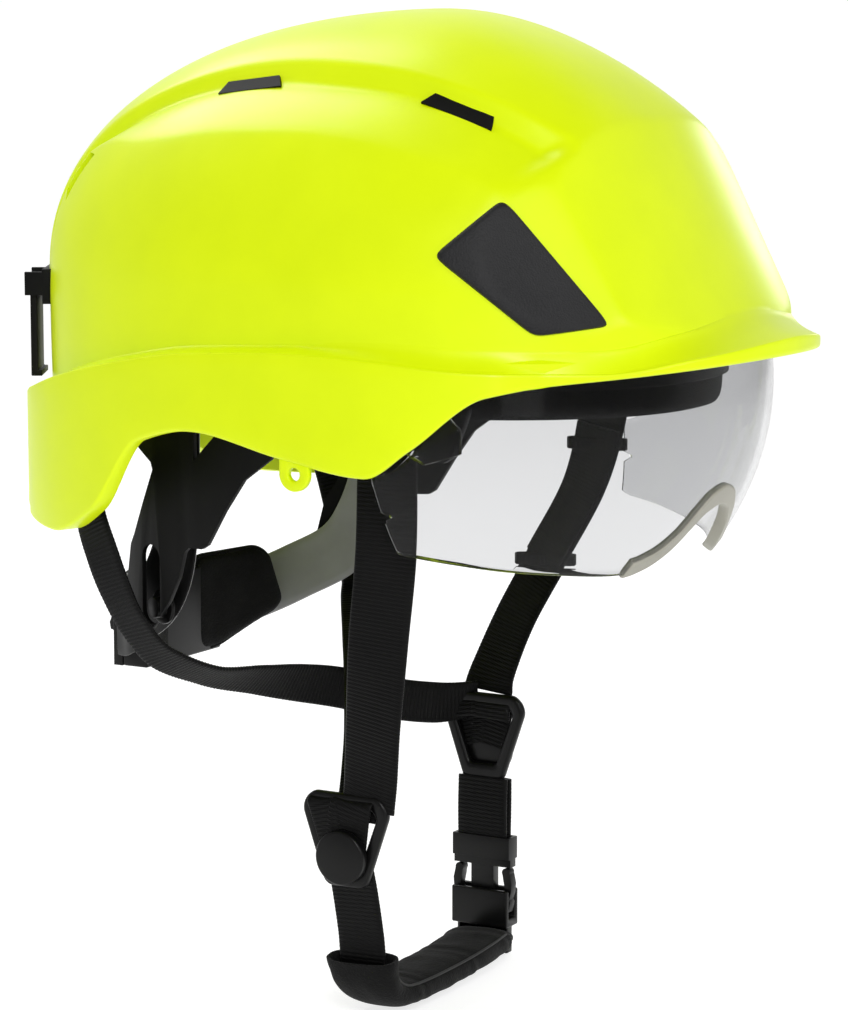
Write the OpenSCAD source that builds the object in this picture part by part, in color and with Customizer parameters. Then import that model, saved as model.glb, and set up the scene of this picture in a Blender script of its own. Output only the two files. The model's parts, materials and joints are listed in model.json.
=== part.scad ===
/* [Shell] */
// Half width of the dome at its widest
dome_half_w = 101; // [98:0.5:103]
// Reach of the dome in front of the head centre
dome_front = 115.5; // [113:0.5:117]
// Reach of the dome behind the head centre
dome_rear = 139; // [136:0.5:142]
// Height of the crown above the dome centre
dome_up = 88.5; // [86:0.5:92]
// Wall thickness of the shell
shell_wall = 2.6; // [2.2:0.1:3]
// How far the belt stands out from the dome
belt_out = 5; // [4:0.5:6]
// How far the brim tip reaches in front of the head centre
brim_reach = 131; // [128:1:134]

/* [Visor] */
// Half width of the lens at its widest
lens_half_w = 92.5; // [91:0.5:93]
// Distance from the pivot line to the front of the lens
lens_reach = 91.5; // [89:0.5:92.5]
// Thickness of the lens
lens_t = 2.2; // [1.8:0.1:2.6]
// Radius of the visor's pivot pins
visor_pin_r = 3; // [2.5:0.25:3.5]

/* [Harness] */
// Width of the webbing
web_w = 20; // [18:1:20]
// Thickness of the webbing
web_t = 1.6; // [1.2:0.1:1.8]
// Half width of the headband ring
ring_half_w = 78; // [76:0.5:79]

/* [Nape adjuster] */
// Pitch radius of the ratchet pinion
pinion_r = 5; // [5:5]
// Number of teeth on the pinion
pinion_teeth = 10; // [10:10]
// Radius of the dial
dial_r = 15; // [14:0.5:17]

/* [Lugs] */
// Radius of the hole in each accessory lug
lug_bore_r = 2.1; // [1.8:0.1:2.2]
// Thickness of each accessory lug
lug_t = 2.6; // [2.4:0.1:3]

/* [Hidden] */
$fn = 40;

SHELL_COLOR = "#d8f500";
BLACK = "#222222";
WEB = "#333333";
GREY = "#9a9a98";

// ---------- general helpers ----------

function clamp01(t) = min(1, max(0, t));
function smooth(t) = let (u = clamp01(t)) u * u * (3 - 2 * u);
function mix(a, b, t) = a + (b - a) * t;
function unit(v) = v / norm(v);

// Value at x of a smooth curve through a list of [x, y] pairs
function curve(list, x, i = 0) =
    i >= len(list) - 2 || x < list[i + 1][0]
        ? mix(list[i][1], list[i + 1][1], smooth((x - list[i][0]) / (list[i + 1][0] - list[i][0])))
        : curve(list, x, i + 1);

// Both triangles of one quad of a grid
function two(a, b, c, d) = [[a, c, b], [a, d, c]];

// Closed solid through a list of rings, each ring having the same number of points
module skin(rings) {
    n = len(rings[0]);
    m = len(rings);
    points = [for (ring = rings) for (p = ring) p];
    sides = [
        for (j = [0 : m - 2]) for (i = [0 : n - 1])
            for (f = two(j * n + i, (j + 1) * n + i, (j + 1) * n + (i + 1) % n, j * n + (i + 1) % n)) f
    ];
    start = [for (i = [1 : n - 2]) [0, i + 1, i]];
    finish = [for (i = [1 : n - 2]) [(m - 1) * n, (m - 1) * n + i, (m - 1) * n + i + 1]];
    polyhedron(points, concat(sides, start, finish));
}

// Closed solid between two equal grids of points, outer and inner
module slab(outer, inner) {
    rows = len(outer);
    cols = len(outer[0]);
    skin([
        for (j = [0 : rows - 1])
            concat([for (i = [0 : cols - 1]) outer[j][i]], [for (i = [cols - 1 : -1 : 0]) inner[j][i]])
    ]);
}

// Point on a Catmull-Rom curve through a list of points, for t from 0 to len - 1
function cr(p, t) =
    let (
        n = len(p),
        i = min(n - 2, floor(t)),
        u = t - i,
        a = p[max(0, i - 1)], b = p[i], c = p[i + 1], d = p[min(n - 1, i + 2)]
    )
    0.5 * (2 * b + (c - a) * u + (2 * a - 5 * b + 4 * c - d) * u * u
        + (3 * b - 3 * c + d - a) * u * u * u);

// Flat webbing along a route; sides gives the direction of the webbing's width at each route point
module webbing(route, sides, w = web_w, t = web_t, steps = 4) {
    n = (len(route) - 1) * steps;
    skin([
        for (k = [0 : n])
            let (
                s = k / steps,
                p = cr(route, s),
                along = unit(cr(route, min(len(route) - 1, s + 0.05)) - cr(route, max(0, s - 0.05))),
                raw = cr(sides, s),
                across = unit(raw - along * (raw * along)),
                out = cross(across, along)
            )
            [
                p + across * w / 2 + out * t / 2, p - across * w / 2 + out * t / 2,
                p - across * w / 2 - out * t / 2, p + across * w / 2 - out * t / 2
            ]
    ]);
}

// ---------- shell surface ----------

dome_z = 12;        // height of the dome centre
dome_n = 2.46;      // squareness in plan
skirt = 400;        // keeps the wall under the dome centre nearly upright
soft = 120;         // sharpness of the creases where the facets cut the dome

function dome_power(dy) = mix(2.12, 1.62, 0.5 - 0.5 * tanh2(dy));
function tanh2(dy) = let (e = exp(4 * dy)) (e - 1) / (e + 1);

// Distance from the dome centre to the plain dome along a unit direction
function plain_r(d) =
    let (
        b = d.y < 0 ? dome_front : dome_rear,
        c = d.z > 0 ? dome_up : skirt,
        m = dome_power(d.y)
    )
    pow(pow(pow(abs(d.x) / dome_half_w, dome_n) + pow(abs(d.y) / b, dome_n), m / dome_n)
        + pow(abs(d.z) / c, m), -1 / m);

// The front panel leans back and bows gently from side to side
panel_n = [0, -0.886, 0.462];
panel_at = 102.6;
panel_bow = 314;

function panel_r(d) =
    let (
        b = max(0.05, panel_n * d),
        c = panel_at - panel_n.z * dome_z,
        a = d.x * d.x / panel_bow
    )
    2 * c / (b + sqrt(b * b + 4 * a * c));

// The two flat facets beside the front panel
facet_n = [0.687, -0.657, 0.311];
facet_at = 109.6;

function facet_r(d) =
    let (b = facet_n.x * abs(d.x) + facet_n.y * d.y + facet_n.z * d.z)
    (facet_at - facet_n.z * dome_z) / max(0.05, b);

// Step between the raised centre band and the shoulders, over the top of the dome
step_depth = 4.8;
ridge = 1;              // how far the shoulder's outer edge stands proud

// Half width of the step's top edge, its bottom edge and the shoulder's outer edge, by y
step_top = [[-80, 49], [-60, 53.2], [-30, 56], [33, 57.3], [66, 58.7], [110, 58]];
step_foot = [[-76, 58.5], [-51, 60.4], [-17, 62.1], [24, 64.1], [58, 63.6], [110, 61]];
shoulder = [[-66, 77], [-40, 79.8], [0, 81.6], [25, 83], [52, 81.5], [71, 77.3], [88, 70], [115, 61]];

function step_off(p) =
    let (
        x = abs(p.x),
        edge_a = lookup(p.y, step_top),
        edge_b = lookup(p.y, step_foot),
        edge_c = lookup(p.y, shoulder),
        drop = smooth((x - edge_a) / (edge_b - edge_a)),
        rise = smooth((x - edge_b) / max(4, edge_c - edge_b)),
        front = smooth((p.y * 0.75 - x * 0.25 + p.z * 0.1 + 66) / 5),
        rear = smooth((p.z - 4) / 40),
        past = x > edge_c ? exp(-(x - edge_c) / 8) : rise
    )
    (ridge * past * drop - step_depth * drop * (1 - rise)) * front * rear;

function shell_r(d) =
    let (
        base = pow(pow(plain_r(d), -soft) + pow(panel_r(d), -soft) + pow(facet_r(d), -soft), -1 / soft)
    )
    base + step_off([0, 0, dome_z] + base * d);

function dir(az, el) = [-sin(az) * cos(el), -cos(az) * cos(el), sin(el)];
function fold(az) = let (a = (az + 360) % 360) a > 180 ? 360 - a : a;

// Point of the shell, offset from its outer face; az runs from the front towards the wearer's right
function shell_pt(az, el, off = 0) =
    [0, 0, dome_z] + dir(az, el) * (shell_r(dir(az, el)) + off);

// Height of the bottom edge and of the belt's top edge round the shell, by angle from the front
rim_line = [
    [0, -10], [35, -14], [54, -19], [66, -36], [74, -45.5], [90, -41], [109, -34.5],
    [120, -39], [131, -65], [141, -74], [152, -72], [165, -60], [180, -57]
];
belt_line = [
    [0, 4], [22, -0.5], [36, -4.5], [57, -4.5], [72, -3.8], [92, -5], [111, -7], [126, -12],
    [138, -18], [150, -25], [165, -30], [180, -31]
];
function rim_z(az) = curve(rim_line, fold(az));
function belt_z(az) = curve(belt_line, fold(az));

// The brim's outline is an ellipse that grows out of the belt
function brim_r(az) = 1 / sqrt(pow(sin(az) / 106, 2) + pow(cos(az) / brim_reach, 2));
function wall_r(az) = norm([shell_pt(az, 0).x, shell_pt(az, 0).y]);
function belt_off(az) =
    let (a = fold(az), brim = brim_r(az) - wall_r(az))
    a < 90 ? max(belt_out, brim) : belt_out + 3.5 * smooth((a - 115) / 40);
// 1 on the brim's middle, 0 where only the belt is left
function brim_part(az) = clamp01((belt_off(az) - belt_out) / (brim_reach - dome_front - belt_out));
// How far the belt's outer edge lies under its inner one
drop_line = [[0, 8], [30, 7.5], [57, 6.5], [72, 4.7], [92, 2.2], [180, 2.5]];
function belt_drop(az) = curve(drop_line, fold(az));

function ring_pt(az, r, z) = [-sin(az) * r, -cos(az) * r, z];
function wall_at(az, z, off = 0) =
    let (el = atan2(z - dome_z, wall_r(az)), p = shell_pt(az, el, off)) [p.x, p.y, z];

cols = 96;
dome_rows = 19;
inner_rows = 9;

module shell_body() {
    az = [for (i = [0 : cols - 1]) i * 360 / cols];
    el0 = [for (a = az) atan2(belt_z(a) - dome_z, wall_r(a))];
    outer = concat(
        [[for (a = az) ring_pt(a, wall_r(a) + belt_off(a) - 0.8, rim_z(a))]],
        [[for (a = az) ring_pt(a, wall_r(a) + belt_off(a), rim_z(a) + 1.2)]],
        [[for (a = az) ring_pt(a, wall_r(a) + belt_off(a), belt_z(a) - belt_drop(a) - 1)]],
        [[for (a = az) ring_pt(a, wall_r(a) + belt_off(a) - 0.9, belt_z(a) - belt_drop(a))]],
        [
            for (j = [0 : dome_rows - 1])
                [for (i = [0 : cols - 1]) shell_pt(az[i], mix(el0[i], 90, j / dome_rows))]
        ]
    );
    inner = concat(
        [[
            for (a = az)
                let (p = wall_at(a, rim_z(a), -shell_wall), k = (1 - brim_part(a)) * (belt_out - 0.6))
                ring_pt(a, norm([p.x, p.y]) + k, rim_z(a) + 3 * brim_part(a))
        ]],
        [[
            for (a = az)
                let (z = belt_z(a) - 4, p = wall_at(a, z, -shell_wall), k = (1 - brim_part(a)) * (belt_out - 0.6))
                ring_pt(a, norm([p.x, p.y]) + k, z)
        ]],
        [
            for (j = [0 : inner_rows - 1])
                [for (i = [0 : cols - 1]) shell_pt(az[i], mix(el0[i], 90, j / inner_rows), -shell_wall)]
        ]
    );
    no = len(outer);
    ni = len(inner);
    top = no * cols;
    under = top + 1;
    faces = concat(
        [
            for (j = [0 : no - 2]) for (i = [0 : cols - 1])
                for (f = two(j * cols + i, (j + 1) * cols + i,
                    (j + 1) * cols + (i + 1) % cols, j * cols + (i + 1) % cols)) f
        ],
        [for (i = [0 : cols - 1]) [(no - 1) * cols + i, (no - 1) * cols + (i + 1) % cols, top]],
        [
            for (j = [0 : ni - 2]) for (i = [0 : cols - 1])
                for (f = two(under + (j * cols) + i + 1, under + j * cols + (i + 1) % cols + 1,
                    under + (j + 1) * cols + (i + 1) % cols + 1, under + (j + 1) * cols + i + 1)) f
        ],
        [
            for (i = [0 : cols - 1])
                [under + (ni - 1) * cols + i + 1, under, under + (ni - 1) * cols + (i + 1) % cols + 1]
        ],
        [
            for (i = [0 : cols - 1])
                for (f = two(i, (i + 1) % cols, under + (i + 1) % cols + 1, under + i + 1)) f
        ]
    );
    polyhedron(
        concat(
            [for (row = outer) for (p = row) p], [[0, 0, dome_z + dome_up]],
            [[0, 0, dome_z + dome_up - shell_wall]], [for (row = inner) for (p = row) p]
        ),
        faces
    );
}

// Six vents in the step faces: start and end of each on the wearer's left
vents = [
    [[63.2, 25.6, 77.1], [63.9, 49.1, 74.3]],
    [[60.5, -26.7, 72.4], [59.3, -51.4, 63.8]],
    [[66.5, 94.4, 51], [66.5, 107.2, 35.5]]
];
vent_low = 1.6;
vent_high = 3.4;

module vent_cut(a, b) {
    mid = (a + b) / 2;
    along = unit(b - a);
    outward = unit(mid - [0, 0, dome_z]);
    across = unit(cross(along, outward));
    out = cross(across, along);
    multmatrix([
        [along.x, across.x, out.x, mid.x],
        [along.y, across.y, out.y, mid.y],
        [along.z, across.z, out.z, mid.z]
    ])
        translate([0, (across.z > 0 ? 1 : -1) * (vent_high - vent_low) / 2, 0])
            cube([norm(b - a), vent_low + vent_high, 30], center = true);
}

module shell() {
    color(SHELL_COLOR)
        resize([0, 0, 0])
            difference() {
                shell_body();
                for (v = vents) {
                    vent_cut(v[0], v[1]);
                    mirror([1, 0, 0]) vent_cut(v[0], v[1]);
                }
            }
}

// ---------- lugs, side pads and lamp clips ----------

lug_at = [-104, -4.8, -45.5];
lug_r = 5.5;

module accessory_lug_right() {
    color(SHELL_COLOR)
        translate(lug_at)
            rotate([90, 0, -90])
                translate([0, 0, -lug_t / 2])
                    difference() {
                        union() {
                            cylinder(r = lug_r, h = lug_t);
                            translate([-lug_r, 0, 0]) cube([2 * lug_r, 8.5, lug_t]);
                        }
                        translate([0, 0, -1]) cylinder(r = lug_bore_r, h = lug_t + 2);
                    }
}
module accessory_lug_left() mirror([1, 0, 0]) accessory_lug_right();

// Corners of the side pad on the wearer's right: top, front, low rear and rear
pad_corners = [[-79, -66, 41], [-68.5, -96, 3.6], [-83, -79, 1], [-94, -51, 26]];
pad_n = 6;
pad_proud = 1.1;
pad_sunk = 1.6;

function pad_pt(u, v, off) =
    let (
        p = mix(mix(pad_corners[0], pad_corners[1], u), mix(pad_corners[3], pad_corners[2], u), v),
        d = unit(p - [0, 0, dome_z])
    )
    [0, 0, dome_z] + d * (shell_r(d) + off);

module side_pad_right() {
    color(BLACK)
        slab(
            [for (j = [0 : pad_n]) [for (i = [0 : pad_n]) pad_pt(i / pad_n, j / pad_n, pad_proud)]],
            [for (j = [0 : pad_n]) [for (i = [0 : pad_n]) pad_pt(i / pad_n, j / pad_n, -pad_sunk)]]
        );
}
module side_pad_left() mirror([1, 0, 0]) side_pad_right();

clip_at = [-51, 127.7, 0];
clip_turn = 30;         // direction the clip faces, from straight back towards the right
clip_half_w = 9.6;
clip_low = -25;
clip_pin_y = 5;
clip_pin_z = 7;
clip_pin_r = 1.2;
ear_t = 2;

module clip_mount_right() {
    color(BLACK)
        translate(clip_at)
            rotate([0, 0, clip_turn]) {
                translate([-clip_half_w - 0.4 - ear_t, -3, 0])
                    cube([2 * (clip_half_w + 0.4 + ear_t), 5, 12]);
                for (x = [-clip_half_w - 0.4 - ear_t, clip_half_w + 0.4])
                    translate([x, 1, 3]) cube([ear_t, 7, 8]);
                translate([-clip_half_w - 1, clip_pin_y, clip_pin_z])
                    rotate([0, 90, 0]) cylinder(r = clip_pin_r, h = 2 * clip_half_w + 2);
            }
}
module clip_mount_left() mirror([1, 0, 0]) clip_mount_right();

module lamp_clip_right() {
    color(BLACK)
        translate(clip_at)
            rotate([0, 0, clip_turn])
                difference() {
                    union() {
                        translate([-clip_half_w, 4, clip_low])
                            cube([2 * clip_half_w, 2.4, clip_pin_z - clip_low]);
                        translate([-clip_half_w, clip_pin_y, clip_pin_z])
                            rotate([0, 90, 0]) cylinder(r = 2.6, h = 2 * clip_half_w);
                        translate([-clip_half_w, 2.6, clip_low]) cube([2 * clip_half_w, 2, 2]);
                    }
                    translate([-clip_half_w - 1, clip_pin_y, clip_pin_z])
                        rotate([0, 90, 0]) cylinder(r = clip_pin_r + 0.06, h = 2 * clip_half_w + 2);
                }
}
module lamp_clip_left() mirror([1, 0, 0]) lamp_clip_right();

// ---------- headband and cradle ----------

ring_front = 98;
ring_rear = 112;
ring_n = 2.2;
ring_t = 1.8;
ring_low = -20;
ring_top = 8;

// Point of an oval round the head; grow moves it outwards
function oval(a, half_w, front, rear, n, yc = 0) =
    let (c = cos(a), s = sin(a), b = s < 0 ? front : rear)
    [
        sign(c) * half_w * pow(abs(c), 2 / n),
        yc + sign(s) * b * pow(abs(s), 2 / n)
    ];
function ring_xy(a, grow = 0) =
    oval(a, ring_half_w + grow, ring_front + grow, ring_rear + grow, ring_n);

module ring_sector(a0, a1, out, t, low, high, n = 60) {
    translate([0, 0, low])
        linear_extrude(height = high - low)
            polygon(concat(
                [for (i = [0 : n]) ring_xy(mix(a0, a1, i / n), out)],
                [for (i = [n : -1 : 0]) ring_xy(mix(a0, a1, i / n), out - t)]
            ));
}

module headband() {
    color(BLACK)
        translate([0, 0, ring_low])
            linear_extrude(height = ring_top - ring_low)
                polygon(
                    concat(
                        [for (i = [0 : 71]) ring_xy(i * 5)],
                        [for (i = [0 : 71]) ring_xy(i * 5, -ring_t)]
                    ),
                    [[for (i = [0 : 71]) i], [for (i = [0 : 71]) 72 + i]]
                );
}

pad_t = 5;
module sweatband() color(WEB) ring_sector(195, 345, -ring_t - 0.1, pad_t, ring_low - 3, ring_top + 1, 30);

cradle_turns = [0, 58, 122];
cradle_low = 4;
cradle_rise = 66;
cradle_gap = 2.2;       // height between one strap and the next at the crown

module cradle_straps() {
    color(WEB)
        for (k = [0 : 2])
            let (
                a = cradle_turns[k],
                e0 = ring_xy(a, 1.2),
                e1 = ring_xy(a + 180, 1.2),
                n = 12,
                route = [
                    for (i = [0 : n])
                        let (t = i * 180 / n, e = t < 90 ? e0 : e1, c = pow(abs(cos(t)), 1.55))
                        [e.x * c, e.y * c, cradle_low + (cradle_rise + k * cradle_gap) * sin(t)]
                ],
                side = unit([-e0.y, e0.x, 0])
            )
            webbing(route, [for (p = route) side], web_w, 1.4, 1);
}

crown_r = 24;
module crown_pad()
    color(WEB)
        translate([0, 0, cradle_low + cradle_rise - 4.2]) cylinder(r = crown_r, h = 3.2, $fn = 60);

module cradle_clips() {
    color(BLACK)
        for (a = cradle_turns, h = [0, 180]) {
            p = ring_xy(a + h, 1);
            translate([p.x, p.y, 0])
                rotate([0, 0, atan2(p.y / pow(ring_rear, 2), p.x / pow(ring_half_w, 2))])
                    translate([-3, -12, -6]) cube([4.3, 24, 13]);
        }
}

// ---------- nape adjuster ----------

nape_half_w = 74;
nape_yc = 10;
nape_rear = 106;

// Upright curved wall behind the head, out mm outside the nape line and t thick
module nape_wall(out, t, low, high) {
    n = 48;
    translate([0, 0, low])
        linear_extrude(height = high - low)
            polygon(concat(
                [
                    for (i = [0 : n])
                        oval(i * 180 / n, nape_half_w + out, nape_rear, nape_rear + out, ring_n, nape_yc)
                ],
                [
                    for (i = [n : -1 : 0])
                        oval(i * 180 / n, nape_half_w + out - t, nape_rear, nape_rear + out - t, ring_n,
                            nape_yc)
                ]
            ));
}

arm_outline = [
    [15, -10], [15, -36], [21, -45.5], [31.5, -53], [39.5, -64], [44.5, -72], [47, -76], [49.5, -77.5],
    [55.5, -77.7], [57.5, -79.5], [59, -84.5], [60, -88], [65, -97], [74, -107.5], [89.5, -107.5],
    [91.3, -103.5], [86.5, -80], [84, -76], [73, -53], [74, -50.5], [83, -45], [93, -38], [93, -10],
    [53, -10], [52.8, -48], [45, -40.5], [30, -26], [30, -10]
];
arm_half_w = 78.6;
arm_rear = 108;
arm_n = 2.6;
arm_slot_y = 74.4;
arm_slot_half_w = 4.8;
arm_slot_high = -83.4;
arm_slot_low = -101;
arm_t = 2;

module arm_wall(low, high) {
    n = 48;
    translate([0, 0, low])
        linear_extrude(height = high - low)
            polygon(concat(
                [for (i = [0 : n]) oval(i * 180 / n, arm_half_w, arm_rear, arm_rear, arm_n, nape_yc)],
                [
                    for (i = [n : -1 : 0])
                        oval(i * 180 / n, arm_half_w - arm_t, arm_rear, arm_rear - arm_t, arm_n, nape_yc)
                ]
            ));
}

module nape_arm_left() {
    color(BLACK) {
        intersection() {
            arm_wall(-130, 0);
            rotate([90, 0, 90])
                linear_extrude(height = 100)
                    difference() {
                        polygon(arm_outline);
                        translate([arm_slot_y, arm_slot_low]) circle(r = arm_slot_half_w);
                        translate([arm_slot_y, arm_slot_high]) circle(r = arm_slot_half_w);
                        translate([arm_slot_y - arm_slot_half_w, arm_slot_low])
                            square([2 * arm_slot_half_w, arm_slot_high - arm_slot_low]);
                    }
        }
        translate([74.8, 25, -18]) cube([3, 6, 7]);
    }
}
module nape_arm_right() mirror([1, 0, 0]) nape_arm_left();

band_route = [
    [31, 115.4, -116], [36, 109.4, -115], [43, 103, -112], [51.5, 93, -106.5], [59.5, 78.5, -97.5],
    [63, 70, -84], [66.2, 65, -66], [67.8, 62.8, -45], [68.1, 62.2, -28], [68, 62, -12.8]
];
band_sides = [
    [0, 0, 1], [0, 0.05, 1], [0.1, 0.2, 1], [0.1, 0.4, 0.95], [0, 0.55, 0.85], [-0.15, 0.8, 0.55],
    [-0.3, 0.9, 0.3], [-0.38, 0.92, 0.05], [-0.4, 0.91, 0], [-0.4, 0.91, 0]
];
band_w = 21;
module size_band_left() color(GREY) webbing(band_route, band_sides, band_w, 1.2, 3);
module size_band_right() mirror([1, 0, 0]) size_band_left();

housing_front = 108.1;
pocket_front = 114.3;
pocket_rear = 118.7;
cover_rear = 122.5;
wheel_z = -116;
housing_half_w = 24;
housing_half_h = 16;
pocket_half_h = 10;
shaft_r = 3;

module ratchet_housing() {
    color(BLACK)
        difference() {
            translate([-housing_half_w, housing_front, wheel_z - housing_half_h])
                cube([2 * housing_half_w, pocket_rear - housing_front, 2 * housing_half_h]);
            translate([-housing_half_w - 1, pocket_front, wheel_z - pocket_half_h])
                cube([2 * housing_half_w + 2, 10, 2 * pocket_half_h]);
        }
}
module ratchet_cover() {
    color(BLACK)
        difference() {
            translate([-housing_half_w, pocket_rear, wheel_z - housing_half_h])
                cube([2 * housing_half_w, cover_rear - pocket_rear, 2 * housing_half_h]);
            translate([0, pocket_rear - 1, wheel_z])
                rotate([-90, 0, 0]) cylinder(r = shaft_r + 0.05, h = 10);
        }
}

gear_front = pocket_front + 0.4;
gear_t = 3.6;
tooth_tip = 0.8;
tooth_root = 1.1;
tooth_half = 0.52;      // half the thickness of a tooth on the pitch line
tooth_flank = 0.3;      // how much wider than that it is at the root, and narrower at the tip
dial_front = cover_rear + 0.6;
dial_t = 7.5;

module ratchet_pinion() {
    color(GREY)
        translate([0, 0, wheel_z])
            rotate([-90, 0, 0]) {
                translate([0, 0, gear_front])
                    linear_extrude(height = gear_t) {
                        circle(r = pinion_r - tooth_root);
                        for (i = [0 : pinion_teeth - 1])
                            rotate([0, 0, 90 + i * 360 / pinion_teeth])
                                polygon([
                                    [pinion_r - tooth_root - 0.5, -tooth_half - tooth_flank],
                                    [pinion_r + tooth_tip, -tooth_half + tooth_flank],
                                    [pinion_r + tooth_tip, tooth_half - tooth_flank],
                                    [pinion_r - tooth_root - 0.5, tooth_half + tooth_flank]
                                ]);
                    }
                translate([0, 0, gear_front]) cylinder(r = shaft_r, h = dial_front + 4 - gear_front);
            }
}

rack_in = 12;
rack_out = 28;
rack_top = 9.4;
tooth_pitch = 2 * PI * pinion_r / pinion_teeth;

module rack_left() {
    color(GREY)
        translate([0, gear_front, wheel_z])
            rotate([90, 0, 0])
                translate([0, 0, -gear_t])
                    linear_extrude(height = gear_t) {
                        translate([-rack_in, pinion_r + tooth_root])
                            square([rack_in + rack_out, rack_top - pinion_r - tooth_root]);
                        for (k = [-3 : 8])
                            translate([(k - 0.5) * tooth_pitch, pinion_r])
                                polygon([
                                    [-tooth_half - tooth_flank, tooth_root + 0.4],
                                    [-tooth_half + tooth_flank, -tooth_tip],
                                    [tooth_half - tooth_flank, -tooth_tip],
                                    [tooth_half + tooth_flank, tooth_root + 0.4]
                                ]);
                    }
}
module rack_right()
    translate([0, 0, wheel_z]) rotate([0, 180, 0]) translate([0, 0, -wheel_z]) rack_left();

grip_count = 12;
module ratchet_dial() {
    color(BLACK)
        translate([0, 0, wheel_z])
            rotate([-90, 0, 0])
                translate([0, 0, dial_front])
                    difference() {
                        cylinder(r = dial_r, h = dial_t, $fn = 60);
                        for (i = [0 : grip_count - 1])
                            rotate([0, 0, i * 360 / grip_count])
                                translate([dial_r + 1.6, 0, 2]) cylinder(r = 3, h = dial_t, $fn = 24);
                        translate([0, 0, -1]) cylinder(r = shaft_r, h = 5);
                    }
}

nape_pad_outline = [
    [8, -97], [35, -95.5], [38.5, -98.5], [42, -115], [40.5, -118.5], [30, -125.5], [20, -131], [8, -131]
];
nape_pad_t = 6;
module nape_pad_left() {
    color(WEB)
        intersection() {
            nape_wall(-1.9, nape_pad_t, -140, -90);
            translate([0, 125, 0]) rotate([90, 0, 0]) linear_extrude(height = 60) polygon(nape_pad_outline);
        }
}
module nape_pad_right() mirror([1, 0, 0]) nape_pad_left();

stud_at = [64.2, 72.6, -100.4];
stud_turn = 21;
stud_r = 3.6;
module height_stud_left()
    color(BLACK)
        translate(stud_at)
            rotate([0, 90, stud_turn]) {
                cylinder(r = stud_r, h = 5.2);
                cylinder(r = 6, h = 1.6);
            }
module height_stud_right() mirror([1, 0, 0]) height_stud_left();

// ---------- visor ----------

pivot_y = -20;
pivot_z = -24;
lens_n = 2.2;
lens_cols = 48;
lens_rows = 10;
lens_end = 77;          // how far round the lens profile runs, from the front
lens_shut_top = [[0, 1], [50, 0], [70, -6], [93, -14]];
lens_low_edge = [
    [0, -60], [8, -62], [14, -67], [20, -74.5], [27, -79.5], [34, -81.5], [56, -79.5], [66, -78], [75, -75.5],
    [82.6, -71], [85.5, -64.7], [86.3, -60.5], [87.8, -57.4], [89.4, -52.5], [90.6, -47.7]
];

function lens_x(t, w) = sign(t) * w * pow(abs(sin(t)), 2 / lens_n);
function lens_len(t, r) = r * pow(cos(t), 2 / lens_n);
function lens_pt(t, a, off) =
    let (r = lens_len(t, lens_reach + off))
    [lens_x(t, lens_half_w + off), pivot_y - r * cos(a), pivot_z + r * sin(a)];
function lens_edge_z(x) = lookup(abs(x), lens_low_edge);
function lens_low_a(t) =
    let (r = lens_len(t, lens_reach)) asin(max(-0.985, (lens_edge_z(lens_x(t, lens_half_w)) - pivot_z) / r));
function lens_top_a(t) =
    let (r = lens_len(t, lens_reach), z = curve(lens_shut_top, abs(lens_x(t, lens_half_w))))
    asin(min(0.6, (z - pivot_z) / r));
function lens_grid(t0, t1, n, off, a_from, a_to) = [
    for (i = [0 : n])
        let (t = mix(t0, t1, i / n), lo = lens_low_a(t), hi = lens_top_a(t))
        [for (j = [0 : lens_rows]) lens_pt(t, mix(lo + a_from, a_to == 0 ? hi : lo + a_to, j / lens_rows), off)]
];

module visor_lens() {
    color([0.85, 0.9, 0.9, 0.35])
        slab(
            lens_grid(-lens_end, lens_end, lens_cols, 0, 0, 0),
            lens_grid(-lens_end, lens_end, lens_cols, -lens_t, 0, 0)
        );
}

bridge_end = 19;
module nose_bridge() {
    color("#a8a79c")
        slab(
            lens_grid(-bridge_end, bridge_end, 24, 0.5, -0.7, 4),
            lens_grid(-bridge_end, bridge_end, 24, -lens_t - 1.2, -0.7, 4)
        );
}

arm_in = 85.4;
arm_out = 88;
hub_r = 9;
module visor_arm_left() {
    color(BLACK)
        rotate([90, 0, 90])
            translate([pivot_y, pivot_z, arm_in])
                difference() {
                    linear_extrude(height = arm_out - arm_in)
                        union() {
                            circle(r = hub_r);
                            polygon([[-4, 8], [-26, 2], [-35, -6], [-35, -14], [-22, -18], [8, -4]]);
                        }
                    translate([0, 0, -1]) cylinder(r = visor_pin_r + 0.06, h = 10);
                }
}
module visor_arm_right() mirror([1, 0, 0]) visor_arm_left();

bracket_in = 80.2;
bracket_out = 83.7;
module visor_bracket_left() {
    color(BLACK)
        rotate([90, 0, 90]) {
            translate([0, 0, bracket_in])
                linear_extrude(height = bracket_out - bracket_in)
                    polygon([
                        [-56, -24], [-54.4, -29], [-49.5, -40], [-47, -41.5], [-40, -41.5], [-34, -34],
                        [-6, -30], [20, -26],
                        [20, -4], [-10, 0], [-34, -4]
                    ]);
            translate([6, -24, bracket_in]) cube([12, 18, 100.2 - bracket_in]);
            translate([pivot_y, pivot_z, bracket_in]) cylinder(r = visor_pin_r, h = 91 - bracket_in);
        }
}
module visor_bracket_right() mirror([1, 0, 0]) visor_bracket_left();

// ---------- chin harness ----------

front_top = -30;
rear_anchor_turn = 37.5;
module strap_anchors() {
    color(BLACK) {
        for (side = [-1, 1])
            translate([side * 79 - 2.1, -33, front_top - 6]) cube([4.2, 22, 11]);
        for (side = [-1, 1])
            rotate([0, 0, side * rear_anchor_turn]) translate([-11, 117.5, -61]) cube([22, 14, 10]);
    }
}

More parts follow.
